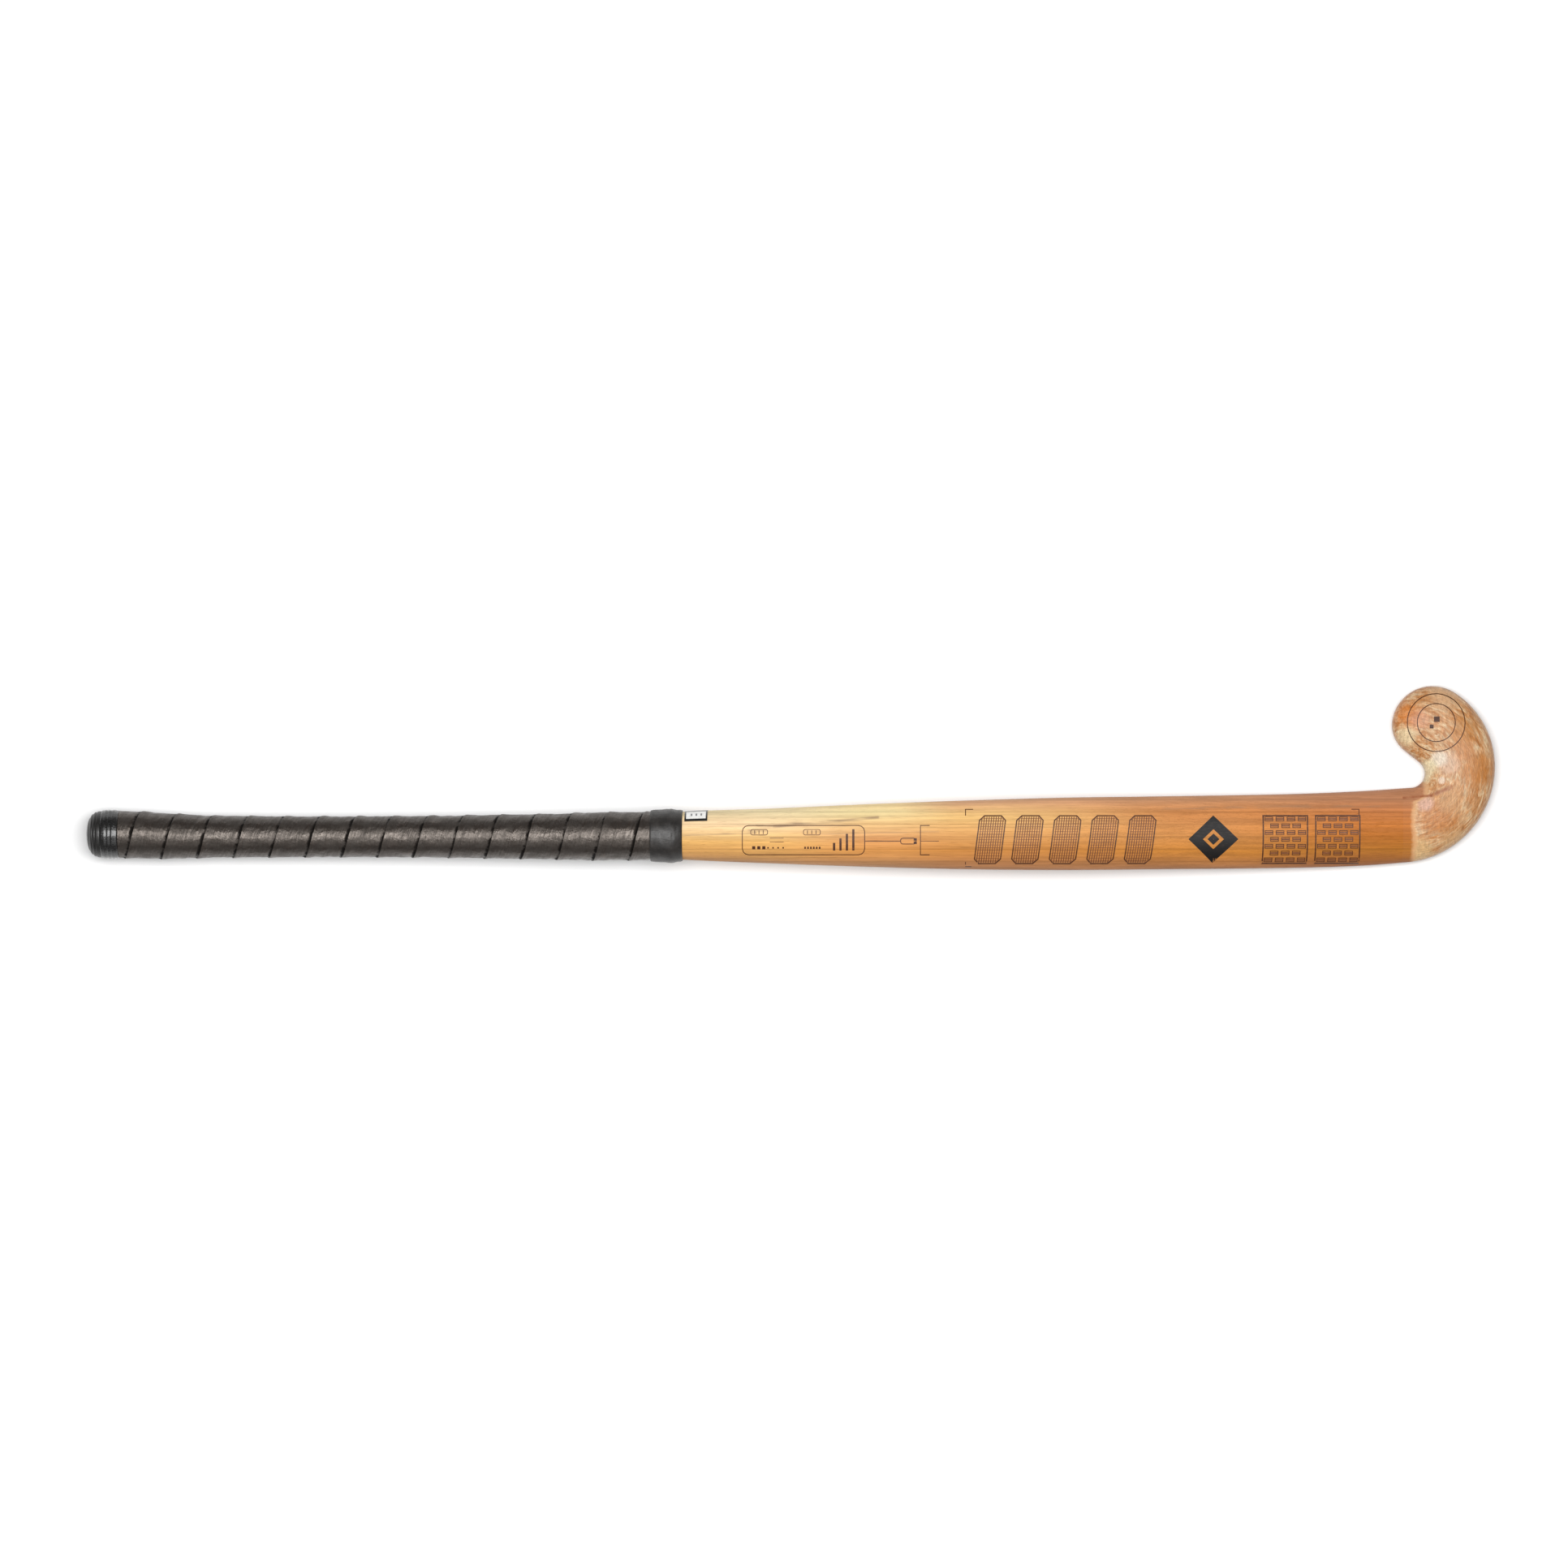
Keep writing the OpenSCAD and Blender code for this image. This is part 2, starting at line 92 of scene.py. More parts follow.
GRIP_REBATE = GRIP_END - 20
WAIST = 85
BAND_R = 16.1
BAND_FROM = 12
ROUND_UNTIL = 300
BLADE_FROM = 520
STRAIGHT_END = 330
RIBBON_PITCH = 23.65
RIBBON_LAP = 5
RIBBON_THICKNESS = 1.2
RIBBON_EDGE = 0.5
RIBBON_GAP = 0.1
RIBBON_IN = 1.32
RIBBON_TO = GRIP_END - 6
RIBBON_START_ANGLE = -54
MM = 0.001


# ---- small helpers ----
def mix(a, b, share):
    return a + (b - a) * share


def clamp(x, low, high):
    return max(low, min(high, x))


def ease(x):
    share = clamp(x, 0, 1)
    return share * share * (3 - 2 * share)


def sin(degrees):
    return math.sin(math.radians(degrees))


def cos(degrees):
    return math.cos(math.radians(degrees))


def steps(a, b, count):
    return [mix(a, b, k / count) for k in range(count)]


def bell(x, width):
    """1 at 0, falling away to both sides."""
    return math.exp(-((x / width) ** 2))


def turn_dir(turn):
    """From the inner bend's centre, at a turn angle that starts at the shaft and goes towards the heel."""
    return np.array([sin(turn), -cos(turn)])


# ---- the hook: a chain of arcs, each tangent to the next ----
BEND = np.array([STICK_LENGTH - BEND_TO_END, BEND_OFFSET])
BACK = np.array([STICK_LENGTH - BACK_R, BACK_OFFSET])
HEEL = BACK - np.array([HEEL_R - BACK_R, 0])
CROWN = BACK + (BACK_R - CROWN_R) * np.array([cos(CROWN_TURN), sin(CROWN_TURN)])
TOE = CROWN + (CROWN_R - TOE_R) * np.array([cos(TOE_TURN), sin(TOE_TURN)])


def turn_of(point):
    dx, dy = point - BEND
    return (math.degrees(math.atan2(dy, dx)) + 90) % 360


TOE_REACH = float(np.linalg.norm(TOE - BEND))
TOE_AT = turn_of(TOE)
THROAT_AT = TOE_AT - math.degrees(math.acos((BEND_R + TOE_R) / TOE_REACH))
THROAT_LENGTH = math.sqrt(TOE_REACH**2 - (BEND_R + TOE_R) ** 2)
THROAT_END = THROAT_AT + math.degrees(math.atan(THROAT_LENGTH / BEND_R))
BACK_STARTS = turn_of(BACK + np.array([BACK_R, 0]))
CROWN_STARTS = turn_of(BACK + BACK_R * np.array([cos(CROWN_TURN), sin(CROWN_TURN)]))
TOE_STARTS = turn_of(CROWN + CROWN_R * np.array([cos(TOE_TURN), sin(TOE_TURN)]))


def circle_hits(turn, centre, radius):
    """How far out the line at a turn angle enters and leaves a circle."""
    offset = centre - BEND
    along = float(offset @ turn_dir(turn))
    half_chord = math.sqrt(max(0, radius * radius - float(offset @ offset) + along * along))
    return along - half_chord, along + half_chord


def hook_inside(turn, inset):
    if turn <= THROAT_AT:
        return BEND_R + inset
    if turn <= THROAT_END:
        return (BEND_R + inset) / cos(turn - THROAT_AT)
    return circle_hits(turn, TOE, TOE_R - inset)[0]


def hook_outside(turn, inset):
    arcs = [(BACK_STARTS, HEEL, HEEL_R), (CROWN_STARTS, BACK, BACK_R), (TOE_STARTS, CROWN, CROWN_R)]
    for ends, centre, radius in arcs:
        if turn < ends:
            return circle_hits(turn, centre, radius - inset)[1]
    return circle_hits(turn, TOE, TOE_R - inset)[1]


# ---- the shaft: distance from the butt, toe-side edge, heel-side edge, thickness ----
BEND_AT = float(BEND[0])


def along_shaft(share):
    return mix(GRIP_END, BEND_AT, share)


SHAFT = np.array([
    [0, 14.5, -11.5, 26],
    [24, 14.4, -11.5, 26],
    [50, 13, -12, 25],
    [WAIST, 11.2, -11.2, 22.4],
    [200, 10.9, -10.9, 21.8],
    [300, 12.3, -12.2, 24.4],
    [340, 13.5, -13, 25.5],
    [GRIP_REBATE, 13.8, -12.7, 25.4],
    [GRIP_END - 5, 14.6, -13.6, 25.6],
    [GRIP_END, 16.4, -15, 26],
    [along_shaft(0.12), 18.5, -17.5, 25],
    [along_shaft(0.26), 21.5, -19.9, 23.8],
    [along_shaft(0.39), 23.8, -21.4, BLADE_THICKNESS],
    [along_shaft(0.52), 25.6, -21.9, BLADE_THICKNESS],
    [along_shaft(0.64), 26.4, -21.5, BLADE_THICKNESS],
    [along_shaft(0.83), 27.9, -20.7, mix(BLADE_THICKNESS, HEAD_THICKNESS, 0.5)],
    [along_shaft(0.93), 29.8, -19.3, mix(BLADE_THICKNESS, HEAD_THICKNESS, 0.9)],
    [BEND_AT, BEND_OFFSET - BEND_R, BEND_OFFSET - hook_outside(0, 0), HEAD_THICKNESS],
])
ROWS_BEFORE = SHAFT[[0, *range(len(SHAFT) - 1)]]
ROWS_AFTER = SHAFT[[*range(1, len(SHAFT)), -1]]
SHAFT_SLOPES = (ROWS_AFTER - ROWS_BEFORE) / (ROWS_AFTER - ROWS_BEFORE)[:, :1]


def shaft_row(u):
    """Toe-side edge, heel-side edge and thickness, on a smooth curve through the rows."""
    i = int(np.clip(np.searchsorted(SHAFT[:, 0], u, side="right") - 1, 0, len(SHAFT) - 2))
    width = SHAFT[i + 1][0] - SHAFT[i][0]
    f = clamp((u - SHAFT[i][0]) / width, 0, 1)
    row = (
        (2 * f**3 - 3 * f**2 + 1) * SHAFT[i]
        + (f**3 - 2 * f**2 + f) * width * SHAFT_SLOPES[i]
        + (3 * f**2 - 2 * f**3) * SHAFT[i + 1]
        + (f**3 - f**2) * width * SHAFT_SLOPES[i + 1]
    )
    return row[1], row[2], row[3]


# ---- the bow ----
HEAD_LEVEL_FROM = STICK_LENGTH - LEVEL_HEAD
BOW_TOP = BOW_HEIGHT + BLADE_THICKNESS / 2
BOW_RUN = BOW_AT - STRAIGHT_END
HANDLE_RISE = (BOW_TOP - BAND_R) / (BOW_AT - BOW_RUN / 2 - BAND_FROM)


def face_height(u):
    share = clamp((u - BOW_AT) / (HEAD_LEVEL_FROM - BOW_AT), 0, 1)
    return BOW_HEIGHT * (1 + cos(180 * share)) / 2


def middle_height(u, thickness):
    if u <= STRAIGHT_END:
        return BOW_TOP - HANDLE_RISE * (BOW_AT - BOW_RUN / 2 - u)
    if u <= BOW_AT:
        return BOW_TOP - HANDLE_RISE * (BOW_AT - u) ** 2 / (2 * BOW_RUN)
    return face_height(u) + thickness / 2


def tilt(u):
    if u <= STRAIGHT_END:
        return math.degrees(math.atan(HANDLE_RISE))
    if u <= BOW_AT:
        return math.degrees(math.atan(HANDLE_RISE * (BOW_AT - u) / BOW_RUN))
    return math.degrees(math.atan(face_height(u + 0.5) - face_height(u - 0.5)))


# ---- sections across the stick: flat face, rounded back, widest at the equator ----
# centre and towards are the middle in plan and the way to the toe side, and split is how far the middle
# lies from the handle's middle line. power and corner shape the back and the rounding of the face.
Section = namedtuple(
    "Section", "centre towards split half middle equator rise depth power corner lean height"
)


def make_section(centre, towards, split, half, thickness, inset, blade, lean, height, crown=1, base=1):
    equator = mix(thickness / 2, EQUATOR_HEIGHT, blade)
    corner = min(half, mix(half, FACE_EDGE_ROUND, blade))
    rise = (thickness - equator - inset) * crown
    depth = (equator - inset) * base
    power = mix(2, BACK_FULLNESS, blade)
    middle = thickness / 2
    return Section(centre, towards, split, half, middle, equator, rise, depth, power, corner, lean, height)


def shaft_section(u, inset=0.0):
    toe, heel, thickness = shaft_row(u)
    blade = ease((u - ROUND_UNTIL) / (BLADE_FROM - ROUND_UNTIL))
    split = (toe + heel) / 2
    half = (toe - heel) / 2 - inset
    height = middle_height(u, thickness)
    across = np.array([0.0, 1.0])
    return make_section(
        np.array([u, split]), across, split, half, thickness, inset, blade, tilt(u), height
    )


def hook_section(turn, inset=0.0):
    near, far = hook_inside(turn, inset), hook_outside(turn, inset)
    middle, half = (near + far) / 2, max(0, (far - near) / 2)
    radius = TOE_R - inset
    depth = radius if turn <= TOE_AT else max(0, radius - TOE_REACH * sin(turn - TOE_AT))
    crown = (1 - (1 - min(1, depth / radius)) ** BACK_FULLNESS) ** (1 / BACK_FULLNESS)
    base = math.sqrt(1 - (1 - min(1, depth / FACE_EDGE_ROUND)) ** 2)
    return make_section(
        BEND + middle * turn_dir(turn), -turn_dir(turn), BEND_OFFSET - middle, half,
        HEAD_THICKNESS, inset, 1, 0, HEAD_THICKNESS / 2, crown, base,
    )


def back_at(s, y):
    over = min(1, abs(y) / max(s.half, 0.001))
    return s.equator + s.rise * (1 - over**s.power) ** (1 / s.power)


def face_at(s, y):
    over = clamp((abs(y) - (s.half - s.corner)) / max(s.corner, 0.001), 0, 1)
    return s.equator - s.depth * math.sqrt(1 - over * over)


def place(s, y, z):
    """A point of a section, y across it and z above the face plane, in millimetres."""
    up = z - s.middle
    return (
        s.centre[0] + s.towards[0] * y - up * sin(s.lean),
        s.centre[1] + s.towards[1] * y,
        s.height + up * cos(s.lean),
    )


def round_point(s, angle):
    y = s.half * cos(angle)
    return place(s, y, back_at(s, y) if sin(angle) >= 0 else face_at(s, y))


def back_point(u, v, lift):
    """The point of the rounded back above a place in plan, raised by lift, in the shaft or the hook."""
    if u < BEND_AT and v < BEND_OFFSET:
        s = shaft_section(u)
        return place(s, v - s.split, back_at(s, v - s.split) + lift)
    point = np.array([u, v])
    s = hook_section(turn_of(point))
    y = (BEND_OFFSET - s.split) - float(np.linalg.norm(point - BEND))
    return place(s, y, back_at(s, y) + lift)


# ---- from the stick's own plan to the shared frame: its bottom centre is the origin ----
TOP_EDGE = float(CROWN[1]) + CROWN_R
LOW_EDGE = float(SHAFT[:, 2].min())
PLAN_TO_FRAME = np.array([-STICK_LENGTH / 2, -(TOP_EDGE + LOW_EDGE) / 2, 0])


class Shape:
    """A closed mesh built from faces. Corners that share a place share a vertex, and faces with no area
    are left out."""

    def __init__(self):
        self.index = {}
        self.points = []
        self.faces = []
        self.normals = []

    def vertex(self, point):
        key = tuple(round(float(c), 4) for c in point)
        if key not in self.index:
            self.index[key] = len(self.points)
            self.points.append(key)
        return self.index[key]

    def face(self, corners, normals=None):
        normals = normals if normals is not None else [(0, 0, 0)] * len(corners)
        ids, kept = [], []
        for corner, normal in zip(corners, normals):
            i = self.vertex(corner)
            if i not in ids:
                ids.append(i)
                kept.append(normal)
        if len(ids) >= 3:
            self.faces.append(ids)
            self.normals.append(kept)

    def wall(self, rings, closed=True, normals=None, outward=True):
        """Quads between rings that run anticlockwise, seen from the end that the rings run towards."""
        count = len(rings[0])
        for k in range(len(rings) - 1):
            for j in range(count if closed else count - 1):
                i = (j + 1) % count
                order = [(k, j), (k, i), (k + 1, i), (k + 1, j)]
                if not outward:
                    order.reverse()
                given = None if normals is None else [normals[a][b] for a, b in order]
                self.face([rings[a][b] for a, b in order], given)

    def cap(self, ring, outward=True):
        """A fan over a ring, from its middle."""
        middle = tuple(np.mean([list(p) for p in ring], axis=0))
        for j in range(len(ring)):
            i = (j + 1) % len(ring)
            self.face([middle, ring[j], ring[i]] if outward else [middle, ring[i], ring[j]])

    def bar(self, rings):
        """A solid through rings, closed at both ends."""
        self.wall(rings)
        self.cap(rings[0], outward=False)
        self.cap(rings[-1])

    def build(self, name, material, nodes=(), slot=None, sharp=35):
        points = (np.array(self.points) + PLAN_TO_FRAME) * MM
        mesh = bpy.data.meshes.new(name)
        mesh.from_pydata(points.tolist(), [], self.faces)
        mesh.update()
        mesh.polygons.foreach_set("use_smooth", [True] * len(mesh.polygons))
        given = [tuple(n) for face in self.normals for n in face]
        if any(any(n) for n in given):
            mesh.normals_split_custom_set(given)
        else:
            mesh.set_sharp_from_angle(angle=math.radians(sharp))
        made = bpy.data.objects.new(name, mesh)
        bpy.context.scene.collection.objects.link(made)
        mesh.materials.append(material)
        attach(made, "root")
        if nodes:
            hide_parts(*nodes)
        return made


def surface_normals(grid, flip=False):
    """Unit normals of a grid of points, from its own slopes."""
    along = np.gradient(grid, axis=0, edge_order=2)
    across = np.gradient(grid, axis=1, edge_order=2)
    normals = np.cross(along, across) * (-1 if flip else 1)
    length = np.linalg.norm(normals, axis=2, keepdims=True)
    return np.where(length > 1e-9, normals / np.maximum(length, 1e-9), [0.0, 0.0, 1.0])


# ---- material recipes ----
class Recipe:
    """A material's node tree, built with short calls."""

    def __init__(self, name, roughness=0.5, coat=0.0, coat_roughness=0.2, specular=0.5):
        self.material = bpy.data.materials.new(name)
        self.material.use_nodes = True
        self.tree = self.material.node_tree
        self.shader = self.tree.nodes["Principled BSDF"]
        self.shader.inputs["Roughness"].default_value = roughness
        self.shader.inputs["Coat Weight"].default_value = coat
        self.shader.inputs["Coat Roughness"].default_value = coat_roughness
        self.shader.inputs["Specular IOR Level"].default_value = specular
        where = self.node("ShaderNodeVectorMath", operation="MULTIPLY_ADD")
        self.tree.links.new(self.node("ShaderNodeTexCoord").outputs["Object"], where.inputs[0])
        where.inputs[1].default_value = (1 / MM, 1 / MM, 1 / MM)
        where.inputs[2].default_value = tuple(-PLAN_TO_FRAME)
        self.plan = where.outputs[0]
        apart = self.node("ShaderNodeSeparateXYZ")
        self.tree.links.new(self.plan, apart.inputs[0])
        self.u, self.v, self.z = apart.outputs

    def node(self, kind, **settings):
        made = self.tree.nodes.new(kind)
        for key, value in settings.items():
            setattr(made, key, value)
        return made

    def feed(self, socket, value):
        if isinstance(value, bpy.types.NodeSocket):
            self.tree.links.new(value, socket)
        else:
            socket.default_value = value

    def math(self, operation, *values):
        made = self.node("ShaderNodeMath", operation=operation)
        for socket, value in zip(made.inputs, values):
            self.feed(socket, value)
        return made.outputs[0]

    def plus(self, a, b):
        return self.math("ADD", a, b)

    def minus(self, a, b):
        return self.math("SUBTRACT", a, b)

    def times(self, a, b):
        return self.math("MULTIPLY", a, b)

    def length(self, a, b):
        """How far a and b, at right angles to each other, reach together."""
        return self.math("SQRT", self.plus(self.math("POWER", a, 2), self.math("POWER", b, 2)))

    def vector(self, x, y, z):
        made = self.node("ShaderNodeCombineXYZ")
        for socket, value in zip(made.inputs, (x, y, z)):
            self.feed(socket, value)
        return made.outputs[0]

    def scaled(self, sx, sy=None, sz=None, shift=None):
        """The place in plan millimetres, stretched alike or by axis, with an optional shift."""
        sy, sz = (sx, sx) if sy is None else (sy, sz)
        made = self.node("ShaderNodeVectorMath", operation="MULTIPLY_ADD")
        self.feed(made.inputs[0], self.plan)
        made.inputs[1].default_value = (sx, sy, sz)
        if shift is not None:
            self.feed(made.inputs[2], self.vector(0, shift, shift))
        return made.outputs[0]

    def noise(self, where, detail=2.0, roughness=0.5, distortion=0.0):
        made = self.node("ShaderNodeTexNoise")
        self.feed(made.inputs["Vector"], where)
        made.inputs["Scale"].default_value = 1.0
        made.inputs["Detail"].default_value = detail
        made.inputs["Roughness"].default_value = roughness
        made.inputs["Distortion"].default_value = distortion
        return made.outputs[0]

    def range(self, value, low, high, to_low=0.0, to_high=1.0):
        made = self.node("ShaderNodeMapRange", interpolation_type="SMOOTHSTEP")
        for socket, number in zip(made.inputs, (value, low, high, to_low, to_high)):
            self.feed(socket, number)
        return made.outputs[0]

    def mix(self, share, a, b, blend="MIX"):
        made = self.node("ShaderNodeMix", data_type="RGBA", blend_type=blend)
        self.feed(made.inputs[0], share)
        self.feed(made.inputs[6], a)
        self.feed(made.inputs[7], b)
        return made.outputs[2]

    def shade(self, colour, amount):
        """A colour made darker or lighter by a value round 1."""
        return self.mix(1.0, colour, self.vector(amount, amount, amount), "MULTIPLY")

    def ramp(self, share, stops):
        """Colours, from 0 to 255, at places from 0 to 1."""
        made = self.node("ShaderNodeValToRGB")
        band = made.color_ramp
        while len(band.elements) < len(stops):
            band.elements.new(0.5)
        for element, (at, colour) in zip(band.elements, stops):
            element.position = at
            element.color = paint(*colour)
        self.feed(made.inputs[0], share)
        return made.outputs[0]

    def spot(self, u, v, reach, wobble):
        """1 at a place in plan, fading to 0 at reach, with an uneven outline."""
        distance = self.length(self.minus(self.u, u), self.minus(self.v, v))
        uneven = self.math("MULTIPLY_ADD", wobble, reach, distance)
        return self.range(uneven, reach * 1.5, reach * 0.5)

    def streak(self, u0, v0, u1, v1, width, wobble):
        """1 along a line in plan, fading to 0 at width, broken up by wobble."""
        du, dv = u1 - u0, v1 - v0
        squared = du * du + dv * dv
        along = self.plus(
            self.times(self.minus(self.u, u0), du / squared),
            self.times(self.minus(self.v, v0), dv / squared),
        )
        level = self.math("MINIMUM", self.math("MAXIMUM", along, 0.0), 1.0)
        away = self.minus(self.u, self.math("MULTIPLY_ADD", level, du, u0))
        aside = self.minus(self.v, self.math("MULTIPLY_ADD", level, dv, v0))
        near = self.range(self.length(away, aside), width, 0)
        return self.times(near, self.range(wobble, 0.35, 0.6))

    def bump(self, height, depth_mm, strength=1.0):
        made = self.node("ShaderNodeBump")
        made.inputs["Strength"].default_value = strength
        made.inputs["Distance"].default_value = depth_mm * MM
        self.feed(made.inputs["Height"], height)
        self.tree.links.new(made.outputs[0], self.shader.inputs["Normal"])

    def finish(self, colour, rough=None):
        self.feed(self.shader.inputs["Base Color"], colour)
        if rough is not None:
            self.feed(self.shader.inputs["Roughness"], rough)
        return self.material


# The lights are strong enough for the floor to read as white. At this share paint reads as its own colour.
LIT = 0.8


def paint(red, green, blue):
    """A colour as it looks in print, 0 to 255, as the share of light that it gives back."""
    return tuple((c / 255) ** 2.2 * LIT for c in (red, green, blue)) + (1.0,)


# Colour of the lacquered wood: [distance from the butt, stops across the stick], and each stop is
# [distance to the toe side of the middle, colour]
WOOD = [
    [440, [[-16, (205, 150, 98)], [-9, (226, 168, 98)], [-4, (240, 184, 108)], [1, (240, 196, 132)],
           [8, (250, 215, 168)], [17, (252, 230, 180)]]],
    [520, [[-18, (196, 142, 96)], [-9, (222, 152, 82)], [-1, (222, 156, 96)], [8, (238, 192, 130)],
           [16, (250, 228, 168)], [21, (248, 218, 158)]]],
    [580, [[-18, (192, 132, 86)], [-9, (208, 138, 68)], [3, (222, 162, 96)], [12, (240, 192, 122)],
           [16, (238, 190, 126)], [22, (216, 164, 122)]]],
    [730, [[-19, (184, 124, 76)], [-10, (204, 132, 58)], [0, (206, 138, 74)], [8, (213, 142, 80)],
           [16, (205, 134, 78)], [24, (204, 146, 104)]]],
    [850, [[-19, (172, 108, 62)], [-9, (182, 115, 47)], [0, (190, 112, 41)], [8, (200, 119, 53)],
           [16, (192, 118, 66)], [25, (188, 130, 94)]]],
]
V_FROM, V_TO = -25, 35
STREAK_GREY = (150, 124, 100)
PORE_BROWN = (120, 70, 34)


# Mineral streaks: [from, from across, to, to across, half width, strength]
MINERAL_STREAKS = [
    [436, 4.5, 470, 9.5, 2.2, 0.5],
    [452, 6.8, 520, 12.8, 1.6, 0.75],
    [392, 1.2, 440, 2.6, 1.3, 0.6],
    [470, 1.5, 560, 3.5, 1.1, 0.35],
    [700, 18.5, 850, 20.5, 1.8, 0.35],
]


def wood_look(r):
    """Colour and relief of the lacquered wood: strips, growth bands, fibres, pores and mineral streaks."""
    strips = r.math("DIVIDE", r.v, LAMINATION)
    lowest = STRIPS_ABOVE_SPLICE - LAMINATIONS
    chance = r.node("ShaderNodeTexWhiteNoise", noise_dimensions="1D")
    r.feed(chance.inputs["W"], r.math("MAXIMUM", r.math("FLOOR", strips), lowest))
    own = chance.outputs["Value"]
    shift = r.times(own, 400.0)
    drift = r.noise(r.scaled(0.008, 0.05, 0.05, shift), 2.0)
    across = r.math("MULTIPLY_ADD", drift, 6.0, r.minus(r.v, 3.0))
    share = r.math("DIVIDE", r.minus(across, V_FROM), V_TO - V_FROM)
    colour = None
    for k, (u, stops) in enumerate(WOOD):
        band = r.ramp(share, [[(v - V_FROM) / (V_TO - V_FROM), tint] for v, tint in stops])
        colour = band if colour is None else r.mix(r.range(r.u, WOOD[k - 1][0], u), colour, band)
    bands = r.noise(r.scaled(0.007, 0.42, 0.16, shift), 3.0, 0.55, 0.5)
    fibres = r.noise(r.scaled(0.03, 1.6, 1.6, shift), 4.0, 0.65)
    pores = r.noise(r.scaled(0.07, 5.0, 5.0, shift), 2.0, 0.5)
    colour = r.shade(colour, r.range(own, 0, 1, 0.95, 1.04))
    colour = r.shade(colour, r.range(bands, 0.3, 0.7, 0.84, 1.1))
    colour = r.shade(colour, r.range(fibres, 0.3, 0.7, 0.9, 1.07))
    from_line = r.math("ABSOLUTE", r.minus(r.math("FRACT", r.plus(strips, 0.5)), 0.5))
    glue = r.times(r.range(from_line, 0.09, 0.0), r.range(bands, 0.35, 0.6, 0.15, 0.6))
    colour = r.mix(glue, colour, r.shade(colour, 0.62))
    pits = r.range(pores, 0.62, 0.72)
    colour = r.mix(r.times(pits, 0.45), colour, paint(*PORE_BROWN))
    wobble = r.noise(r.scaled(0.04, 0.5, 0.5), 3.0)
    for u0, v0, u1, v1, width, strength in MINERAL_STREAKS:
        line = r.times(r.streak(u0, v0, u1, v1, width, wobble), strength)
        colour = r.mix(line, colour, paint(*STREAK_GREY))
    relief = r.minus(fibres, pits)
    return colour, relief


def wood_material(name):
    r = Recipe(name, specular=0.14)
    colour, relief = wood_look(r)
    r.bump(relief, 0.12, 0.5)
    return r.finish(colour, r.range(relief, 0.2, 0.7, 0.62, 0.5))


# Where the wood's colour gives way to the skin's
SKIN_EDGE = 877
# Patches under the glass skin, and one painted highlight, the small white glint at 891, 37: [u, v, reach,
# colour]
HEAD_PATCHES_AND_GLINT = [
    [869, 80, 8, (204, 120, 52)],
    [877, 77, 6, (206, 142, 104)],
    [893, 92, 9, (214, 172, 132)],
    [905, 70, 9, (190, 126, 66)],
    [914, 46, 11, (190, 122, 62)],
    [906, 56, 7, (196, 134, 84)],
    [895, 48, 7, (214, 176, 148)],
    [889, 51, 5, (236, 224, 204)],
    [883, 46, 5, (240, 226, 186)],
    [880, 39, 4, (236, 218, 176)],
    [868, 66, 6, (230, 208, 166)],
    [888, 13, 12, (190, 120, 60)],
    [897, 24, 9, (202, 150, 100)],
    [880, 22, 5, (222, 180, 160)],
    # A painted highlight: a small white glint on the skin, not a patch under it.
    [891, 37, 2, (240, 216, 192)],
    [878, -10, 8, (216, 178, 126)],
    [900, -6, 9, (206, 164, 118)],
]
# Where dark glue shows through the skin: [from, from across, to, to across, half width]
GLUE_STREAKS = [[850, 24.3, 884, 27, 1.5], [884, 27, 897, 32.5, 2.4]]


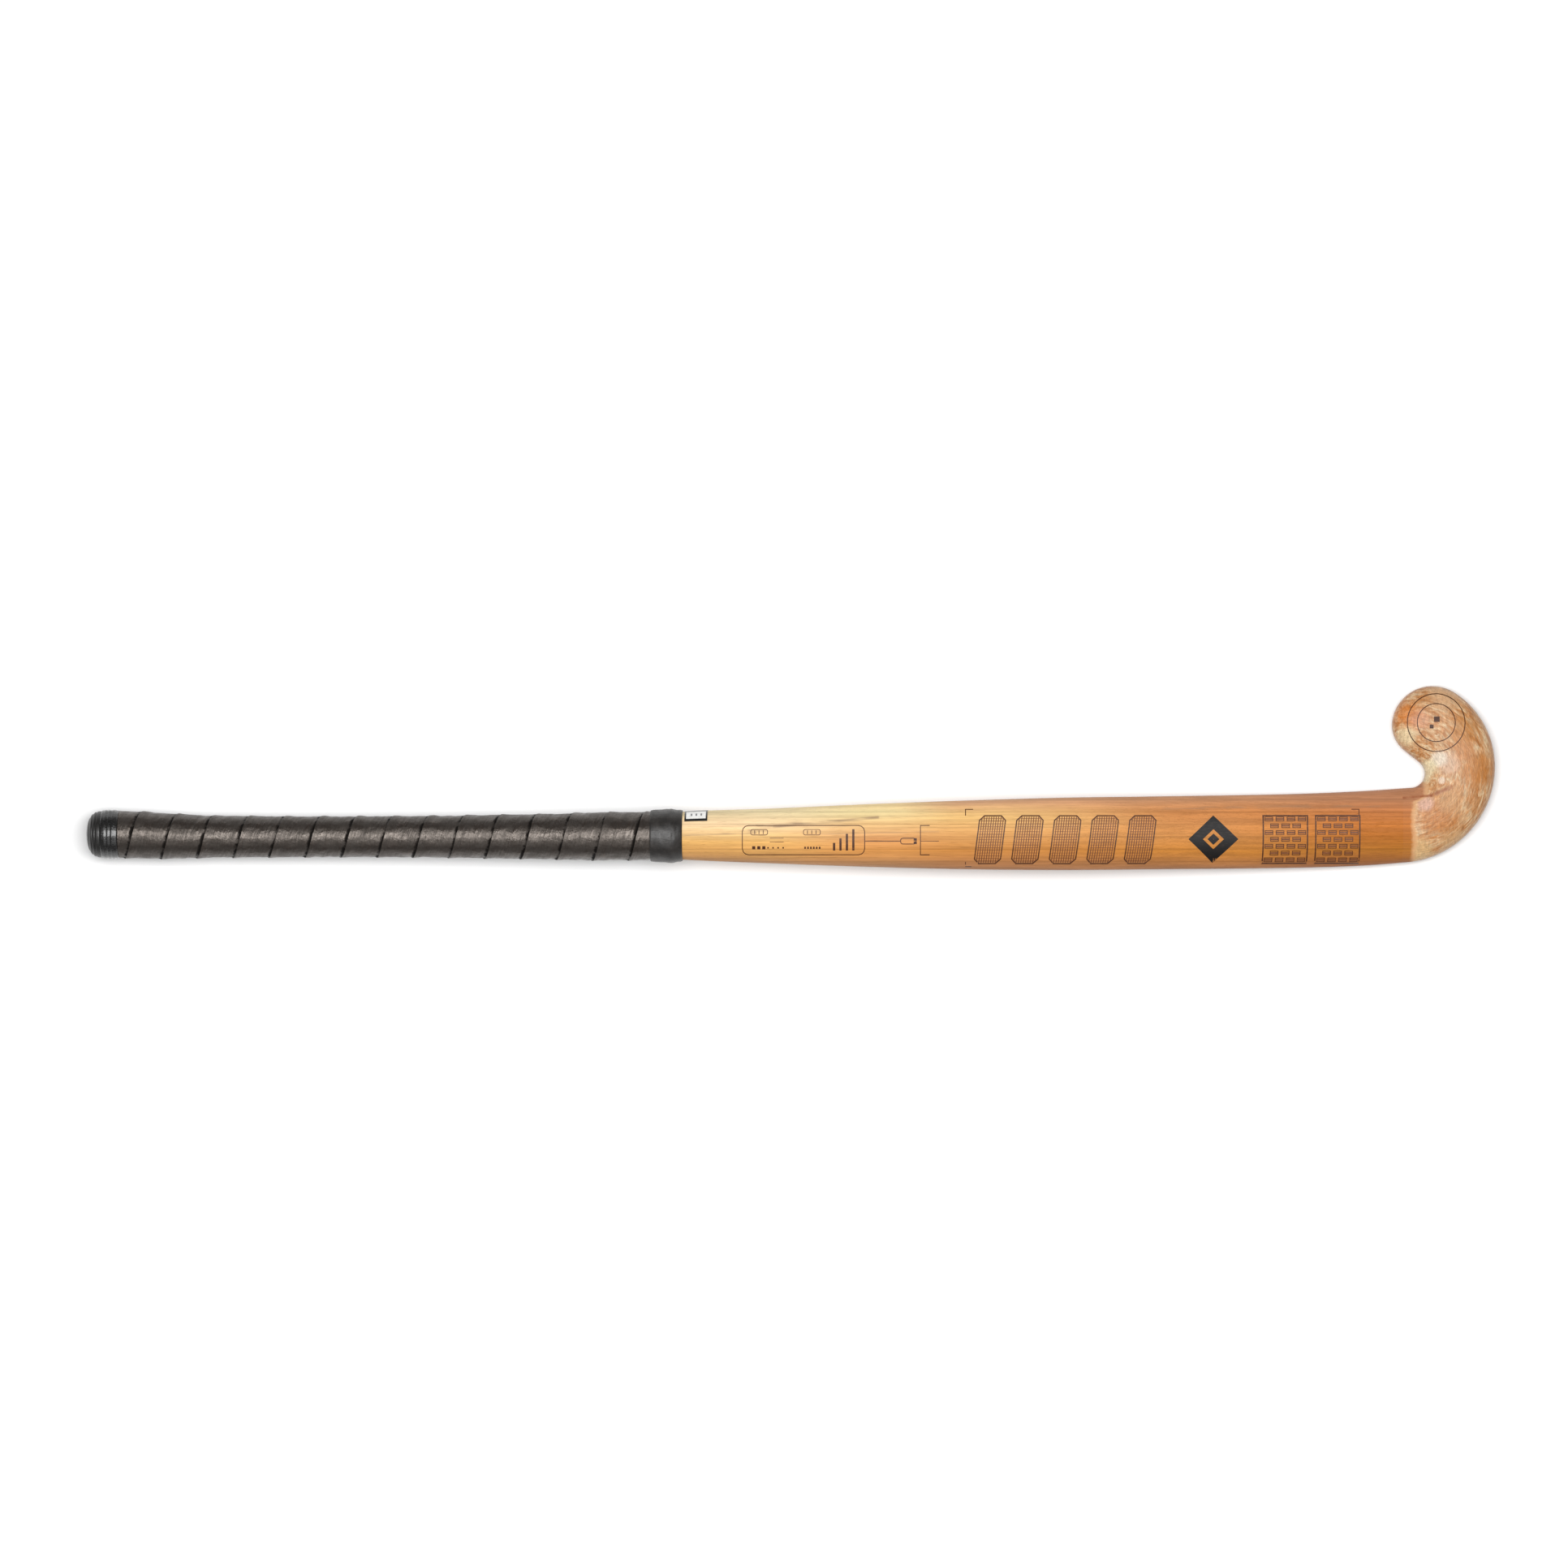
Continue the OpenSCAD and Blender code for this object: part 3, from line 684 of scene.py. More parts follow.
def head_material():
    """Glass fibre in clear resin over the wood: fibres follow the bend, over pale and orange patches, with
    one small painted highlight.
    """
    r = Recipe("glass_fibre_skin", specular=0.22)
    wood, grain = wood_look(r)
    du = r.minus(r.u, float(BEND[0]))
    dv = r.minus(r.v, float(BEND[1]))
    turn = r.math("ARCTAN2", dv, du)
    out = r.length(du, dv)
    bent = r.vector(r.times(turn, 4.5), r.times(out, 0.38), r.times(r.z, 0.3))
    fine = r.vector(r.times(turn, 9.0), r.times(out, 1.7), r.times(r.z, 1.6))
    crossed = r.noise(r.scaled(0.9, 0.22, 0.4), 4.0, 0.7, 0.5)
    patches = r.noise(bent, 4.0, 0.6, 0.8)
    strands = r.noise(fine, 4.0, 0.7, 0.3)
    wobble = r.noise(r.scaled(0.12), 3.0, 0.6)
    base = r.ramp(patches, [
        [0.3, (176, 112, 62)], [0.43, (194, 138, 90)], [0.54, (208, 162, 118)], [0.68, (228, 200, 160)]
    ])
    # The patches, and the painted highlight among them, are laid over the base colour.
    for u, v, reach, tint in HEAD_PATCHES_AND_GLINT:
        spot = r.times(r.spot(u, v, reach, r.minus(wobble, 0.5)), 0.75)
        base = r.mix(spot, base, paint(*tint))
    rim = r.range(r.plus(r.z, r.times(wobble, 3.0)), 13.0, 8.0)
    base = r.mix(r.times(rim, 0.45), base, paint(180, 140, 108))
    base = r.shade(base, r.range(strands, 0.25, 0.75, 0.72, 1.22))
    base = r.shade(base, r.range(crossed, 0.3, 0.7, 0.8, 1.14))
    past_bend = r.range(r.v, BEND_OFFSET - 6, BEND_OFFSET - 2, 0, 40)
    below_line = r.range(r.v, 27, 22, -8, 0)
    edge = r.plus(r.u, r.math("MULTIPLY_ADD", wobble, 7.0, below_line))
    edge = r.plus(edge, past_bend)
    skin = r.range(edge, SKIN_EDGE - 1.5, SKIN_EDGE + 1.5)
    before = r.range(edge, SKIN_EDGE - 3.5, SKIN_EDGE - 1)
    glow = r.times(before, r.range(edge, SKIN_EDGE + 2.5, SKIN_EDGE - 0.5))
    colour = r.mix(skin, wood, base)
    colour = r.mix(r.times(glow, 0.5), colour, paint(236, 190, 140))
    unbroken = r.plus(wobble, 0.1)
    for u0, v0, u1, v1, width in GLUE_STREAKS:
        line = r.times(r.streak(u0, v0, u1, v1, width, unbroken), 0.75)
        colour = r.mix(line, colour, paint(142, 76, 44))
    r.bump(r.math("MULTIPLY_ADD", strands, 0.7, patches), 0.35, 0.55)
    gloss = r.times(skin, r.range(strands, 0.3, 0.7, 0.16, 0.3))
    return r.finish(colour, r.minus(0.58, gloss))


def leather_material():
    """Soft black grip leather: pores, wrinkles along the ribbon, painted shade along the seams between turns
    and patches rubbed smooth.
    """
    r = Recipe("grip_leather_look")
    mark = r.node("ShaderNodeAttribute", attribute_name="ribbon")
    apart = r.node("ShaderNodeSeparateXYZ")
    r.feed(apart.inputs[0], mark.outputs["Vector"])
    across, along = apart.outputs[0], apart.outputs[1]
    ribs = r.noise(r.vector(r.times(across, 0.55), r.times(along, 0.07), 0.0), 4.0, 0.65, 0.4)
    pores = r.noise(r.scaled(1.6), 3.0, 0.6)
    blotches = r.noise(r.scaled(0.11, 0.16, 0.16), 4.0, 0.65)
    colour = r.ramp(blotches, [[0.3, (18, 14, 11)], [0.55, (28, 23, 20)], [0.75, (46, 40, 36)]])
    colour = r.shade(colour, r.range(ribs, 0.3, 0.7, 0.5, 1.6))
    colour = r.shade(colour, r.range(pores, 0.3, 0.7, 0.82, 1.15))
    # Painted shade along the seams between turns: the strip just before the next turn's edge, and that edge
    # itself, are darkened to near black and given less reflection and more roughness, as if in shadow.
    wander = r.math("MULTIPLY_ADD", blotches, 3.0, -1.5)
    before = r.range(r.plus(across, wander), RIBBON_PITCH - 2.45, RIBBON_PITCH - 0.05)
    after = r.range(across, 0.6, 0.3)
    seam_shade = r.times(r.math("MAXIMUM", before, after), r.range(blotches, 0.38, 0.58, 0.35, 0.95))
    colour = r.mix(seam_shade, colour, paint(8, 7, 7))
    r.shader.inputs["Specular Tint"].default_value = (1, 0.88, 0.79, 1)
    r.feed(r.shader.inputs["Specular IOR Level"], r.range(seam_shade, 0, 0.8, 1.0, 0.15))
    r.bump(r.math("MULTIPLY_ADD", pores, 0.12, r.math("MULTIPLY_ADD", blotches, 0.9, ribs)), 0.8, 0.7)
    worn = r.math("MULTIPLY_ADD", blotches, 0.6, r.times(ribs, 0.4))
    shine = r.range(worn, 0.38, 0.62, 0.5, 0.28)
    return r.finish(colour, r.math("MAXIMUM", shine, r.times(seam_shade, 0.8)))


def dark_material(name, low, high, rough_low, rough_high, coat, grain, depth):
    """Rubber or tape: two dark tones mottled together, with fine relief and scuffs."""
    r = Recipe(name, coat=coat, coat_roughness=0.12)
    mottle = r.noise(r.scaled(grain * 0.2), 4.0, 0.6)
    fine = r.noise(r.scaled(grain * 0.5, grain * 2.0, grain * 2.0), 3.0, 0.6)
    scuffs = r.range(r.noise(r.scaled(0.5, 2.5, 2.5), 2.0, 0.7), 0.6, 0.75)
    colour = r.ramp(mottle, [[0.35, low], [0.7, high]])
    colour = r.mix(r.times(scuffs, 0.2), colour, paint(120, 116, 110))
    r.bump(fine, depth, 0.6)
    return r.finish(colour, r.range(fine, 0.3, 0.7, rough_low, rough_high))


def film_material(name, tint, dirt):
    """Printed sticker film, a little soiled, with fine scratches."""
    r = Recipe(name, coat=0.3, coat_roughness=0.15)
    smears = r.noise(r.scaled(0.25, 0.4, 0.4), 4.0, 0.6)
    scratches = r.range(r.noise(r.scaled(0.6, 9.0, 9.0), 2.0, 0.6), 0.64, 0.72)
    colour = r.mix(r.range(smears, 0.4, 0.8, 0.0, 0.5), paint(*tint), paint(*dirt))
    colour = r.mix(r.times(scratches, 0.3), colour, paint(*dirt))
    r.bump(smears, 0.05, 0.5)
    return r.finish(colour, r.range(scratches, 0, 1, 0.3, 0.5))


def ink_material(name, tint, worn_tint):
    """Dark print burnt into the lacquer: the wood's fibres show through where it is thin."""
    r = Recipe(name, specular=0.25)
    fibres = r.noise(r.scaled(0.05, 2.2, 2.2), 4.0, 0.65)
    patchy = r.noise(r.scaled(0.15, 0.4, 0.4), 3.0, 0.6)
    thin = r.times(r.range(fibres, 0.45, 0.7), r.range(patchy, 0.4, 0.65))
    colour = r.mix(r.times(thin, 0.7), paint(*tint), paint(*worn_tint))
    r.bump(fibres, 0.05, 0.5)
    return r.finish(colour, r.range(fibres, 0.3, 0.7, 0.55, 0.4))


def inner_material(name, low, high, stretch):
    """Pieces inside the handle: grain, threads or foam cells, two tones along one direction."""
    r = Recipe(name, roughness=0.7)
    threads = r.noise(r.scaled(*stretch), 4.0, 0.65)
    colour = r.ramp(threads, [[0.3, low], [0.7, high]])
    r.bump(threads, 0.2, 0.6)
    return r.finish(colour)


# ---- wood strips: sections are sparse under the grip and the skin, and close where the wood shows ----
WRAP_FROM = BEND_AT - SKIN_RAMP
BEND_STEPS, TIP_STEPS = 16, 8
HIDDEN_PART = steps(SPLICE_START, SPLICE_TIP, 8) + steps(SPLICE_TIP, GRIP_END - 4, 2)
SHOWN_PART = steps(GRIP_END - 4, WRAP_FROM, 118)


def rebate(u):
    """How deep the wood is cut back for the skin and the resin under it."""
    return (GLASS_SKIN + RESIN) * clamp((u - WRAP_FROM) / SKIN_RAMP, 0, 1)


def hook_turns(bend_steps, tip_steps, inset):
    """Even steps to the middle of the toe, then even steps round its tip."""
    even = [TOE_AT * k / bend_steps for k in range(bend_steps + 1)]
    reach = [(TOE_R - inset) / TOE_REACH * sin(90 * k / tip_steps) for k in range(1, tip_steps + 1)]
    return even + [TOE_AT + math.degrees(math.asin(r)) for r in reach]


def wood_sections():
    deep = rebate(BEND_AT)
    return (
        [shaft_section(u) for u in HIDDEN_PART + SHOWN_PART]
        + [shaft_section(u, rebate(u)) for u in (WRAP_FROM, WRAP_FROM + SKIN_RAMP / 2)]
        + [hook_section(turn, deep) for turn in hook_turns(BEND_STEPS, TIP_STEPS, deep)]
    )


def strip_span(i, s):
    """Where strip i lies across a section. The first four lie on the toe side of the splice."""
    above = i <= STRIPS_ABOVE_SPLICE
    u = s.centre[0]
    wedge = WEDGE_START * (SPLICE_TIP - u) / (SPLICE_TIP - SPLICE_START)
    slot = max(WEDGE_TIP, wedge) if u <= SPLICE_TIP else 0
    top = math.inf if i == 1 else LAMINATION * (STRIPS_ABOVE_SPLICE + 1 - i)
    low = -math.inf if i == LAMINATIONS else LAMINATION * (STRIPS_ABOVE_SPLICE - i)
    start = max(low, slot) if above else min(low, -slot)
    end = max(top, start) if above else min(top, -slot)
    return clamp(start - s.split, -s.half, s.half), clamp(end - s.split, -s.half, s.half)


def wood_strip(i, sections, material, slot):
    reaches_edge = i in (1, 2, LAMINATIONS)
    count = 18 if reaches_edge else 8
    shares = [(1 - cos(180 * j / count)) / 2 for j in range(count + 1)]
    spans = [strip_span(i, s) for s in sections]
    filled = [k for k, (low, high) in enumerate(spans) if high - low > 0.01]
    kept = range(max(0, filled[0] - 1), min(len(sections), filled[-1] + 2))
    rows = [[mix(*spans[k], share) for share in shares] for k in kept]
    cuts = [sections[k] for k in kept]
    back = np.array([[place(s, y, back_at(s, y)) for y in row] for s, row in zip(cuts, rows)])
    face = np.array([[place(s, y, face_at(s, y)) for y in row] for s, row in zip(cuts, rows)])
    back_normals = surface_normals(back)
    face_normals = surface_normals(face, flip=True)
    # Where the back and the face meet at an edge of the stick, both of them look sideways
    for k, (s, row) in enumerate(zip(cuts, rows)):
        sideways = np.array([*s.towards, 0.0])
        if row[-1] > s.half - 1e-6:
            back_normals[k][-1] = face_normals[k][-1] = sideways
        if row[0] < -s.half + 1e-6:
            back_normals[k][0] = face_normals[k][0] = -sideways
    shape = Shape()
    for k in range(len(cuts) - 1):
        for j in range(count):
            quad = [(k, j), (k + 1, j), (k + 1, j + 1), (k, j + 1)]
            shape.face([back[a][b] for a, b in quad], [back_normals[a][b] for a, b in quad])
            quad.reverse()
            shape.face([face[a][b] for a, b in quad], [face_normals[a][b] for a, b in quad])
        shape.face([face[k][0], face[k + 1][0], back[k + 1][0], back[k][0]])
        shape.face([face[k + 1][-1], face[k][-1], back[k][-1], back[k + 1][-1]])
    for k, outward in ((0, False), (len(cuts) - 1, True)):
        if rows[k][-1] - rows[k][0] > 0.001:
            shape.cap([*face[k], *back[k][::-1]], outward)
    return shape.build(f"wood_strip_{i}", material, [f"blade_lamination_{i}"], slot)


# ---- the glass-fibre skin ----
def ring_of(s, count):
    return [round_point(s, 360 * j / count) for j in range(count)]


def ring_normals(rings):
    """Outward normals of closed rings, which run anticlockwise seen from their far end."""
    grid = np.array(rings, float)
    wrapped = np.concatenate([grid[:, -2:], grid, grid[:, :2]], axis=1)
    return surface_normals(wrapped, flip=True)[:, 2:-2]


def head_skin(material):
    around = 96
    ramp_part = [WRAP_FROM, WRAP_FROM + SKIN_RAMP / 2]
    outer = [shaft_section(u) for u in ramp_part]
    outer += [hook_section(turn) for turn in hook_turns(72, 20, 0)]
    inner = [shaft_section(u, GLASS_SKIN * (u - WRAP_FROM) / SKIN_RAMP) for u in ramp_part]
    inner += [hook_section(turn, GLASS_SKIN) for turn in hook_turns(72, 20, GLASS_SKIN)]
    outer_rings = [ring_of(s, around) for s in outer]
    inner_rings = [ring_of(s, around) for s in inner]
    normals = ring_normals(outer_rings)
    # The rings close to a line at the toe's tip, where Blender finds the normals itself
    normals[-2:] = 0
    shape = Shape()
    shape.wall(outer_rings, normals=normals)
    shape.wall(inner_rings, outward=False)
    for j in range(around):
        i = (j + 1) % around
        shape.face([outer_rings[0][i], outer_rings[0][j], inner_rings[0][j], inner_rings[0][i]])
    return shape.build("head_skin", material, ["head_glass_wrap"], "glass_fibre")


# ---- the grip ----
def ribbon_under(x):
    if x >= RIBBON_LAP:
        return 0
    return mix(RIBBON_THICKNESS, RIBBON_EDGE, x / RIBBON_LAP) + RIBBON_GAP


def ribbon_over(x):
    """Height of the ribbon's top, at a place across it. The butt-side edge lies on the turn before."""
    ramp = RIBBON_LAP + 2
    raised = RIBBON_THICKNESS + RIBBON_GAP + RIBBON_EDGE
    if x < ramp:
        return mix(raised, RIBBON_THICKNESS, x / ramp)
    if x < RIBBON_PITCH:
        return RIBBON_THICKNESS
    return mix(RIBBON_THICKNESS, RIBBON_EDGE, (x - RIBBON_PITCH) / RIBBON_LAP)


def ribbon_wrinkle(x, along):
    """Ridges that run along the ribbon, and broader dents from hands. The edges stay smooth."""
    ridge = noise.noise(Vector((x / 1.7, along / 26, 0.0)))
    dent = noise.noise(Vector((x / 5, along / 7, 5.0)))
    edge = clamp(min(x, RIBBON_PITCH - x) / 3, 0, 1)
    return edge * (0.1 * ridge + 0.3 * dent)


def grip_ribbon(material):
    """One long ribbon, wound left-handed from the butt to the collar."""
    per_turn = 60
    turn_length = 2 * math.pi * 14
    width = RIBBON_PITCH + RIBBON_LAP
    turns = (RIBBON_TO - GRIP_FROM + width) / RIBBON_PITCH
    # How much its butt-side edge is rounded off, by the distance from that edge
    rounding = {0: 0.42, 0.15: 0.2, 0.45: 0.06}
    above = [*rounding, 0.9] + [1.6 + 1.16 * k for k in range(19)] + [RIBBON_PITCH, width]
    below = [width, RIBBON_LAP + 0.4, RIBBON_LAP - 0.001, 0]
    rings, marks = [], []
    for k in range(int(turns * per_turn) + 1):
        angle = RIBBON_START_ANGLE - 360 * k / per_turn
        along = turn_length * k / per_turn
        wander = 0.55 * noise.noise(Vector((along / 34, 2.0, 9.0)))
        start = GRIP_FROM - width + RIBBON_PITCH * k / per_turn + wander
        low, high = max(0, GRIP_FROM - start), min(width, RIBBON_TO - start)
        if high - low <= 0.5:
            continue
        over = [clamp(a, low, high) for a in above]
        under = [clamp(b, low, high) for b in below]
        gaps = [ribbon_over(x) + ribbon_wrinkle(x, along) - rounding.get(x, 0) for x in over]
        gaps += [ribbon_under(x) for x in under]
        rings.append([
            round_point(shaft_section(start + x, -RIBBON_IN - gap), angle)
            for x, gap in zip(over + under, gaps)
        ])
        marks.append([(x, along, 0.0) for x in over + under])
    shape = Shape()
    shape.bar(rings)
    made = shape.build("grip_ribbon", material, ["grip_tape"], "grip_leather", sharp=50)
    stored = made.data.attributes.new("ribbon", "FLOAT_VECTOR", "POINT")
    values = np.zeros((len(shape.points), 3), np.float32)
    for ring, mark in zip(rings, marks):
        for point, value in zip(ring, mark):
            values[shape.vertex(point)] = value
    stored.data.foreach_set("vector", values.ravel())
    return made


# The collar tape's outside and inside: [distance from its start, gap above the wood]
COLLAR_FROM = GRIP_REBATE - 1
COLLAR_LENGTH = GRIP_END - COLLAR_FROM
COLLAR = [[0, 3.4], [0.6, 3.62], [3, 3.75], [7, 3.9], [11, 4.1], [13.5, 4.05], [16, 3.3],
          [18.5, 2.2], [20.2, 1.3], [20.8, 0.95], [COLLAR_LENGTH, 0.7]]
COLLAR_IN = [[0, 3.27], [13, 3.27], [16, 2.67], [COLLAR_LENGTH, 0.2]]


def follow(table, x):
    return float(np.interp(x, [row[0] for row in table], [row[1] for row in table]))


def collar_crease(u, angle):
    """Creases and sags of the tape, which fade out towards both of its edges."""
    crease = noise.noise(Vector((u / 2.6, cos(angle) * 3, sin(angle) * 3)))
    sag = noise.noise(Vector((u / 9, cos(angle) * 1.2, sin(angle) * 1.2 + 7)))
    fade = clamp((u - COLLAR_FROM) / 2, 0, 1) * clamp((GRIP_END - u) / 1.5, 0, 1)
    return fade * (0.16 * crease + 0.2 * sag)


def collar(material):
    angles = [3 * j for j in range(120)]
    outer, inner = [], []
    for at in [0, 0.2, 0.6, 1.2] + steps(2, 20, 30) + [20, 20.5, 20.8, COLLAR_LENGTH]:
        u = COLLAR_FROM + at
        gap, gap_in = follow(COLLAR, at), follow(COLLAR_IN, at)
        outer.append([round_point(shaft_section(u, -gap - collar_crease(u, a)), a) for a in angles])
        inner.append([round_point(shaft_section(u, -gap_in), a) for a in angles])
    shape = Shape()
    shape.wall(outer)
    shape.wall(inner, outward=False)
    shape.wall([inner[0], outer[0]])
    shape.wall([outer[-1], inner[-1]])
    return shape.build("collar_wrap", material, ["grip_collar_tape"], "collar_tape", sharp=60)


# ---- round pieces at the butt ----
AXIS_TILT = tilt(0)
AXIS_START = np.array([0, (SHAFT[0][1] + SHAFT[0][2]) / 2, middle_height(0, SHAFT[0][3])])
AXIS_ALONG = np.array([cos(AXIS_TILT), 0, sin(AXIS_TILT)])
AXIS_UP = np.array([-sin(AXIS_TILT), 0, cos(AXIS_TILT)])
AXIS_SIDE = np.array([0, 1, 0])
DOME_LENGTH = 9.6
DOME_BLUNTNESS = 2.5
DOME_R = BAND_R - 0.9
SKIRT_R = DOME_R - 0.4
CAP_BORE_R = 13.2
CAP_FLOOR = 7.8
CAP_END = 19.5
CAP_GROOVES = [2.4, 4.4, 6.6]
BAND_LENGTH = 7.5


def turned_ring(along, radius, around=96, bulge=None):
    """A ring round the handle's axis, with an optional bulge that depends on the angle."""
    ring = []
    for j in range(around):
        angle = 360 * j / around
        r = radius + (bulge(along, angle) if bulge else 0)
        ring.append(AXIS_START + AXIS_ALONG * along + r * (AXIS_SIDE * cos(angle) + AXIS_UP * sin(angle)))
    return ring


def butt_end(material):
    """The rubber cap: a dome with moulded grooves, a skirt and a bore for the handle."""
    outside = []
    for k in range(61):
        at = DOME_LENGTH * (1 - cos(90 * k / 60))
        radius = DOME_R * max(0, 1 - (1 - at / DOME_LENGTH) ** DOME_BLUNTNESS) ** (1 / DOME_BLUNTNESS)
        groove = sum(0.55 * bell(at - middle, 0.38) for middle in CAP_GROOVES)
        outside.append((at, max(0, radius - groove)))
    outside += [(DOME_LENGTH + 0.05, SKIRT_R), (CAP_END, SKIRT_R)]
    inside = [(CAP_END, CAP_BORE_R), (CAP_FLOOR, CAP_BORE_R), (CAP_FLOOR, 0)]
    shape = Shape()
    shape.wall([turned_ring(at, radius) for at, radius in outside + inside])
    return shape.build("butt_end_cap", material, ["butt_cap"], "cap_rubber", sharp=40)


def tape_end(along, angle):
    """The band's loose end stands a little proud on the toe side, and each winding leaves a ridge."""
    lap = 0.45 * bell(angle - 20, 9) * bell(along - 15.5, 3.2)
    ridge = 0.14 * (cos(360 * (along + angle / 360) / 2.6) - 1)
    return lap + ridge + 0.12 * noise.noise(Vector((along / 1.5, angle / 30, 3.0)))


def butt_band(material):
    start, end = DOME_LENGTH + 0.1, GRIP_FROM - 0.1
    inner, shoulder = SKIRT_R + 0.05, BAND_R - 0.55
    outside = [(start, inner), (start, shoulder - 0.3), (start + 0.3, shoulder), (start + 1.2, BAND_R - 0.1)]
    outside += [(at, BAND_R) for at in steps(BAND_FROM, BAND_FROM + BAND_LENGTH, 24)]
    outside += [(end - 1.2, BAND_R - 0.15), (end - 0.3, shoulder), (end, shoulder - 0.3), (end, inner)]
    shape = Shape()
    rings = [turned_ring(at, r, bulge=tape_end if r > shoulder else None) for at, r in outside]
    shape.wall(rings + [rings[0]])
    return shape.build("butt_band", material, ["butt_tape"], "band_tape", sharp=60)


# ---- the sticker beside the collar ----
STICKER_SPAN = (GRIP_END + 1.5, GRIP_END + 16.5)


def sticker_patch(name, material, span, angles, gaps, nodes=()):
    """A piece of film over the toe-side edge: its length along the stick, its angles and its layers."""
    around, lengthways = 24, 5
    places = [mix(*span, k / lengthways) for k in range(lengthways + 1)]
    rings = []
    for j in range(around + 1):
        angle = mix(*angles, j / around)
        under = [round_point(shaft_section(u, -gaps[0]), angle) for u in places]
        top = [round_point(shaft_section(u, -gaps[1]), angle) for u in places]
        rings.append(under + top[::-1])
    shape = Shape()
    shape.bar(rings)
    return shape.build(name, material, nodes, "label_film")


# ---- print on the rounded back ----
INK_TOP, INK_UNDER = 0.05, -0.05


def resample(points, closed, reach=2.0):
    """The same outline with extra points, so that it can follow the rounded back."""
    ends = points[1:] + points[:1] if closed else points[1:]
    made = []
    for a, b in zip(points, ends):
        count = max(1, math.ceil(math.dist(a, b) / reach))
        made += [(mix(a[0], b[0], k / count), mix(a[1], b[1], k / count)) for k in range(count)]
    return made if closed else made + [points[-1]]


def ink_line(shape, points, width, closed=False):
    """A flat bar of ink along an outline in plan, with mitred corners."""
    path = [np.array(p, float) for p in resample(points, closed)]
    count = len(path)
    rings = []
    for k in range(count):
        before = path[k - 1] if closed or k > 0 else None
        after = path[(k + 1) % count] if closed or k < count - 1 else None
        ways = [w / np.linalg.norm(w) for w in (
            path[k] - before if before is not None else after - path[k],
            after - path[k] if after is not None else path[k] - before,
        )]
        sides = [np.array([-w[1], w[0]]) for w in ways]
        mitre = (sides[0] + sides[1]) / max(0.5, 1 + float(sides[0] @ sides[1]))
        left, right = path[k] + mitre * width / 2, path[k] - mitre * width / 2
        rings.append([
            back_point(*left, INK_UNDER), back_point(*left, INK_TOP),
            back_point(*right, INK_TOP), back_point(*right, INK_UNDER),
        ])
    if closed:
        shape.wall(rings + [rings[0]])
        return
    shape.bar(rings)


def ink_band(shape, centre, outline, hole, layers=6):
    """Solid ink between an outline round a centre and a smaller copy of it."""
    outline = resample(outline, True)
    loops = [
        [(centre[0] + p[0] * share, centre[1] + p[1] * share) for p in outline]
        for share in [mix(hole, 1, k / layers) for k in range(layers + 1)]
    ]
    top = [[back_point(*p, INK_TOP) for p in loop] for loop in loops]
    under = [[back_point(*p, INK_UNDER) for p in loop] for loop in loops]
    shape.wall(top + under[::-1] + [top[0]], outward=False)


def rectangle(u0, v0, u1, v1, corner=0.0):
    """Corners of a box in plan, going round anticlockwise, cut off by corner."""
    if not corner:
        return [(u0, v0), (u1, v0), (u1, v1), (u0, v1)]
    turns = [(u1 - corner, v0 + corner, -90), (u1 - corner, v1 - corner, 0),
             (u0 + corner, v1 - corner, 90), (u0 + corner, v0 + corner, 180)]
    return [
        (u + corner * cos(start + 30 * k), v + corner * sin(start + 30 * k))
        for u, v, start in turns for k in range(4)
    ]


def circle(u, v, radius, count=48):
    return [(u + radius * cos(360 * k / count), v + radius * sin(360 * k / count)) for k in range(count)]


# Places of the prints in plan, in millimetres: from and to along the stick, and across it
PLATE = (431.5, -11.8, 511.5, 7.4)
SCALE_FROM, SCALE_TO = 535, 560
BLOCK_FROM, BLOCK_TO = 583.0, 705.0
BLOCKS = 5
EMBLEM_AT = (739, -1.6)
MOSAICS_FROM = (772.0, 807.0)
MOSAIC_LENGTH = 29.5
RINGS_AT = (887.4, 75.0)
RING_RADII = (19.0, 12.5)
CORNERS_AT = (577.5, 836.0)
PRINT_LOW, PRINT_HIGH = -17.6, 13.8
HAIRLINE = 0.55


